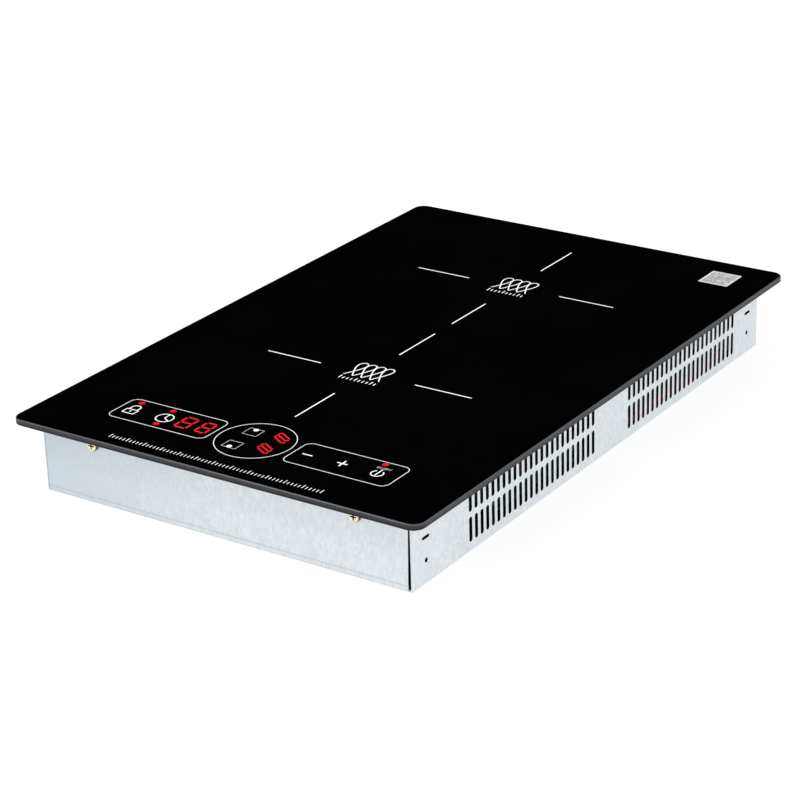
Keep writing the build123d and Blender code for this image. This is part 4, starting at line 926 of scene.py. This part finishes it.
print_lines("panel_outlines", [
    rounded_box(left, panel_bottom, panel_outer - panel_inner, panel_height, panel_corner_radius)
    for left in (panel_x - panel_outer, panel_x + panel_inner)
] + [ring((panel_x, key_line + 0.9), panel_ring_radius)], outline_width)

# %% [markdown]
# Each key has a plain pictogram: padlock, clock, minus, plus and the standby sign. The two small
# squares choose the rear or the front zone, which a dot inside shows.

# %% Key signs
icon_width, level_sign_width, key_frame_width = 0.78, 1.05, 0.22
lock_x, clock_x, minus_x, plus_x, power_x = -91.9, -66.8, 40.6, 65.6, 90.9
zone_key_x = -6.9
zone_key_places = (key_line + 10.35, key_line - 10.4)
zone_key_width, zone_key_height = 10.2, 9.2


def padlock(x, y):
    """Body, shackle and keyhole."""
    width, height, reach = 8.6, 5.7, 3.1
    bottom = y - 5.3
    shackle = arc((x, y + 3.4), reach, 0, 180, 16)[0]
    return [
        rounded_box(x - width / 2, bottom, width, height, 0.7),
        line((x + reach, bottom + height), *shackle, (x - reach, bottom + height)),
        line((x, bottom + 1.9), (x, bottom + 4.2)),
    ]


def clock(x, y):
    """Dial with a hand to the top and one to the lower right."""
    return [ring((x, y), 5.7, 48), line((x, y + 5.7), (x, y), (x + 5.0, y - 3.2))]


def standby(x, y):
    """Open ring with a bar through its gap."""
    return [arc((x, y), 3.8, 125, 415, 40), line((x, y - 2.9), (x, y + 6.0))]


def cross_bars(x, y, reach_x, reach_y):
    """A level bar and an upright bar that cross in the middle."""
    return [line((x - reach_x, y), (x + reach_x, y)), line((x, y - reach_y), (x, y + reach_y))]


print_lines(
    "key_signs",
    padlock(lock_x, key_line) + clock(clock_x, key_line + 0.1) + standby(power_x, key_line - 0.7),
    icon_width,
)
print_lines(
    "level_signs",
    [line((minus_x - 3.6, key_line + 0.1), (minus_x + 3.6, key_line + 0.1))]
    + cross_bars(plus_x, key_line + 0.4, 3.6, 3.8),
    level_sign_width,
)
print_lines("zone_key_frames", [
    rounded_box(
        zone_key_x - zone_key_width / 2, y - zone_key_height / 2, zone_key_width, zone_key_height, 0.5)
    for y in zone_key_places
], key_frame_width)
print("keys along x:", lock_x, clock_x, minus_x, plus_x, power_x)

# %% [markdown]
# The tiny words ON and OFF over the standby sign are strokes as well. Every letter is written on
# a unit square and scaled to its place.

# %% ON and OFF
letter_width, letter_margin = 0.62, 0.18       # shares of the room that each letter gets
word_line_width = 0.18
letter_strokes = {
    "O": [[(0, 0), (1, 0), (1, 1), (0, 1), (0, 0)]],
    "N": [[(0, 0), (0, 1), (1, 0), (1, 1)]],
    "F": [[(0, 0), (0, 1), (1, 1)], [(0, 0.52), (0.8, 0.52)]],
    "/": [[(0, -0.1), (1, 1.1)]],
}


def small_word(word, centre, width, height):
    """Strokes of a short word, spread evenly over a width."""
    step = width / len(word)
    strokes = []
    for index, letter in enumerate(word):
        left = centre[0] - width / 2 + (index + letter_margin) * step
        for stroke in letter_strokes[letter]:
            strokes.append(line(*[
                (left + letter_width * step * u, centre[1] - height / 2 + height * v) for u, v in stroke]))
    return strokes


print_lines(
    "switch_word", small_word("ON/OFF", (power_x + 0.1, key_line + 6.8), 10.4, 1.9), word_line_width)

# %% [markdown]
# ### Dots
# Dots are one more repeat: a tree puts a low cylinder on every point of a mesh. The white ones
# are ink; the red ones are lamps that shine through the glass, over the board's own lights.

# %% Dot tree
dot_tree = new_tree("round_dots")
dot_radius_id = add_input(dot_tree, "Radius")
dot_film_id = add_input(dot_tree, "Film Thickness")
dot_finish_id = add_input(dot_tree, "Finish", "NodeSocketMaterial")
given = add_node(dot_tree, "NodeGroupInput").outputs
disc = add_node(dot_tree, "GeometryNodeMeshCylinder", {
    "Vertices": 32, "Radius": given["Radius"], "Depth": given["Film Thickness"],
})
placed = add_node(dot_tree, "GeometryNodeInstanceOnPoints", {
    "Points": given["Geometry"], "Instance": disc.outputs["Mesh"],
})
end_tree(dot_tree, placed.outputs["Instances"], given["Finish"])


def print_dots(name, places, radius, finish=ink):
    """Prints a dot at each place, given in millimetres."""
    mesh = bpy.data.meshes.new(name)
    mesh.from_pydata([(x * mm, y * mm, ink_level) for x, y in places], [], [])
    source = bpy.data.objects.new(name + "_places", mesh)
    values = {dot_radius_id: radius * mm, dot_film_id: film, dot_finish_id: finish}
    return bake_piece(name, source, dot_tree, values)


white_dot_radius, lit_dot_radius = 1.75, 2.1
print_dots("zone_key_dots", [
    (zone_key_x - 0.2, zone_key_places[0] + 3.2), (zone_key_x - 0.2, zone_key_places[1] - 2.9),
], white_dot_radius)
print_dots("lit_dots", [
    (lock_x - 1.5, key_line + 10.9), (clock_x - 1.9, key_line + 11.0),
    (clock_x + 0.9, key_line - 9.3), (power_x - 2.6, key_line + 11.9),
], lit_dot_radius, finishes["red_light"])

# %% [markdown]
# ### Blank sticker
# A pale sticker with nothing on it sits in the rear right corner: a white sheet with a mottled
# silver field. A third small tree fills a closed outline, extrudes it by the film thickness and
# lifts it to its level, because a filled curve always lies at height zero.

# %% Blank sticker
patch_corner_radius = 0.6
patch_tree = new_tree("filled_patch")
patch_film_id = add_input(patch_tree, "Film Thickness")
patch_level_id = add_input(patch_tree, "Level")
patch_finish_id = add_input(patch_tree, "Finish", "NodeSocketMaterial")
given = add_node(patch_tree, "NodeGroupInput").outputs
filled = add_node(patch_tree, "GeometryNodeFillCurve", {"Curve": given["Geometry"]})
thick = add_node(patch_tree, "GeometryNodeExtrudeMesh", {
    "Mesh": filled.outputs["Mesh"], "Offset Scale": given["Film Thickness"], "Individual": False,
})
lift = add_node(patch_tree, "ShaderNodeCombineXYZ", {"Z": given["Level"]})
lifted = add_node(patch_tree, "GeometryNodeTransform", {
    "Geometry": thick.outputs["Mesh"], "Translation": lift.outputs["Vector"],
})
end_tree(patch_tree, lifted.outputs["Geometry"], given["Finish"])


def sticker_finish(name, colour, darker, scale):
    """Paper or foil with a soft mottle."""
    material, tree, shader, place = start_finish(name, roughness=0.45)
    patches = noise(tree, place, scale, 3.0, 0.6)
    tree.links.new(
        blend_colours(tree, spread(tree, patches, 0.0, 1.0, 0.38, 0.62), darker, colour),
        shader.inputs["Base Color"])
    return material


def add_patch(name, left, bottom, width, height, level, finish):
    """Flat filled patch with slightly round corners."""
    outline = rounded_box(left, bottom, width, height, patch_corner_radius)
    source = path_object(name + "_outline", [outline], 0.0)
    values = {patch_film_id: film, patch_level_id: level, patch_finish_id: finish}
    return bake_piece(name, source, patch_tree, values)


sticker_left, sticker_bottom = 104.8, 186.8
sticker_width, sticker_height = 22.0, 22.9
sticker_border = 1.5
add_patch(
    "sticker_sheet", sticker_left, sticker_bottom, sticker_width, sticker_height, ink_level,
    sticker_finish("sticker_paper", (244, 244, 244), (236, 236, 235), 300))
add_patch(
    "sticker_field", sticker_left + sticker_border, sticker_bottom + sticker_border,
    sticker_width - 2 * sticker_border, sticker_height - 2 * sticker_border, ink_level + film,
    sticker_finish("sticker_foil", (226, 224, 226), (168, 166, 170), 420))

# %% [markdown]
# ### Lit digits
# A seven-segment digit is seven bars with a narrow gap between them. A digit is laid out from a
# corner, a vector along its width and a vector along its height, so the same function draws the
# upright timer digits and the slanted zone digits.


# %% Lit digits
def seven_segments(corner, across, upward, gap):
    """The seven bars of a digit 8, each left open by a gap at its ends."""
    corner, across, upward = Vector(corner), Vector(across), Vector(upward)
    half = upward / 2
    bars = [
        (corner, corner + across), (corner + half, corner + half + across),
        (corner + upward, corner + upward + across),
        (corner, corner + half), (corner + half, corner + upward),
        (corner + across, corner + across + half), (corner + across + half, corner + across + upward),
    ]
    paths = []
    for start, end in bars:
        trim = (end - start).normalized() * gap
        paths.append(line(tuple(start + trim), tuple(end - trim)))
    return paths


timer_bar_width, zone_bar_width = 1.45, 1.2
timer_gap, zone_gap = 0.8, 0.5
timer_digits = seven_segments((-54.9, -187.4), (8.8, 0.0), (0.0, 14.5), timer_gap)
timer_digits += seven_segments((-39.4, -187.2), (7.7, 0.0), (0.0, 13.8), timer_gap)
zone_digits = []
for bottom in (-170.1, -187.3):
    zone_digits += seven_segments((8.3, bottom), (9.8, -5.4), (0.4, 7.2), zone_gap)
print_lines("timer_digits", timer_digits, timer_bar_width, finishes["red_light"])
print_lines("zone_digits", zone_digits, zone_bar_width, finishes["red_light"])
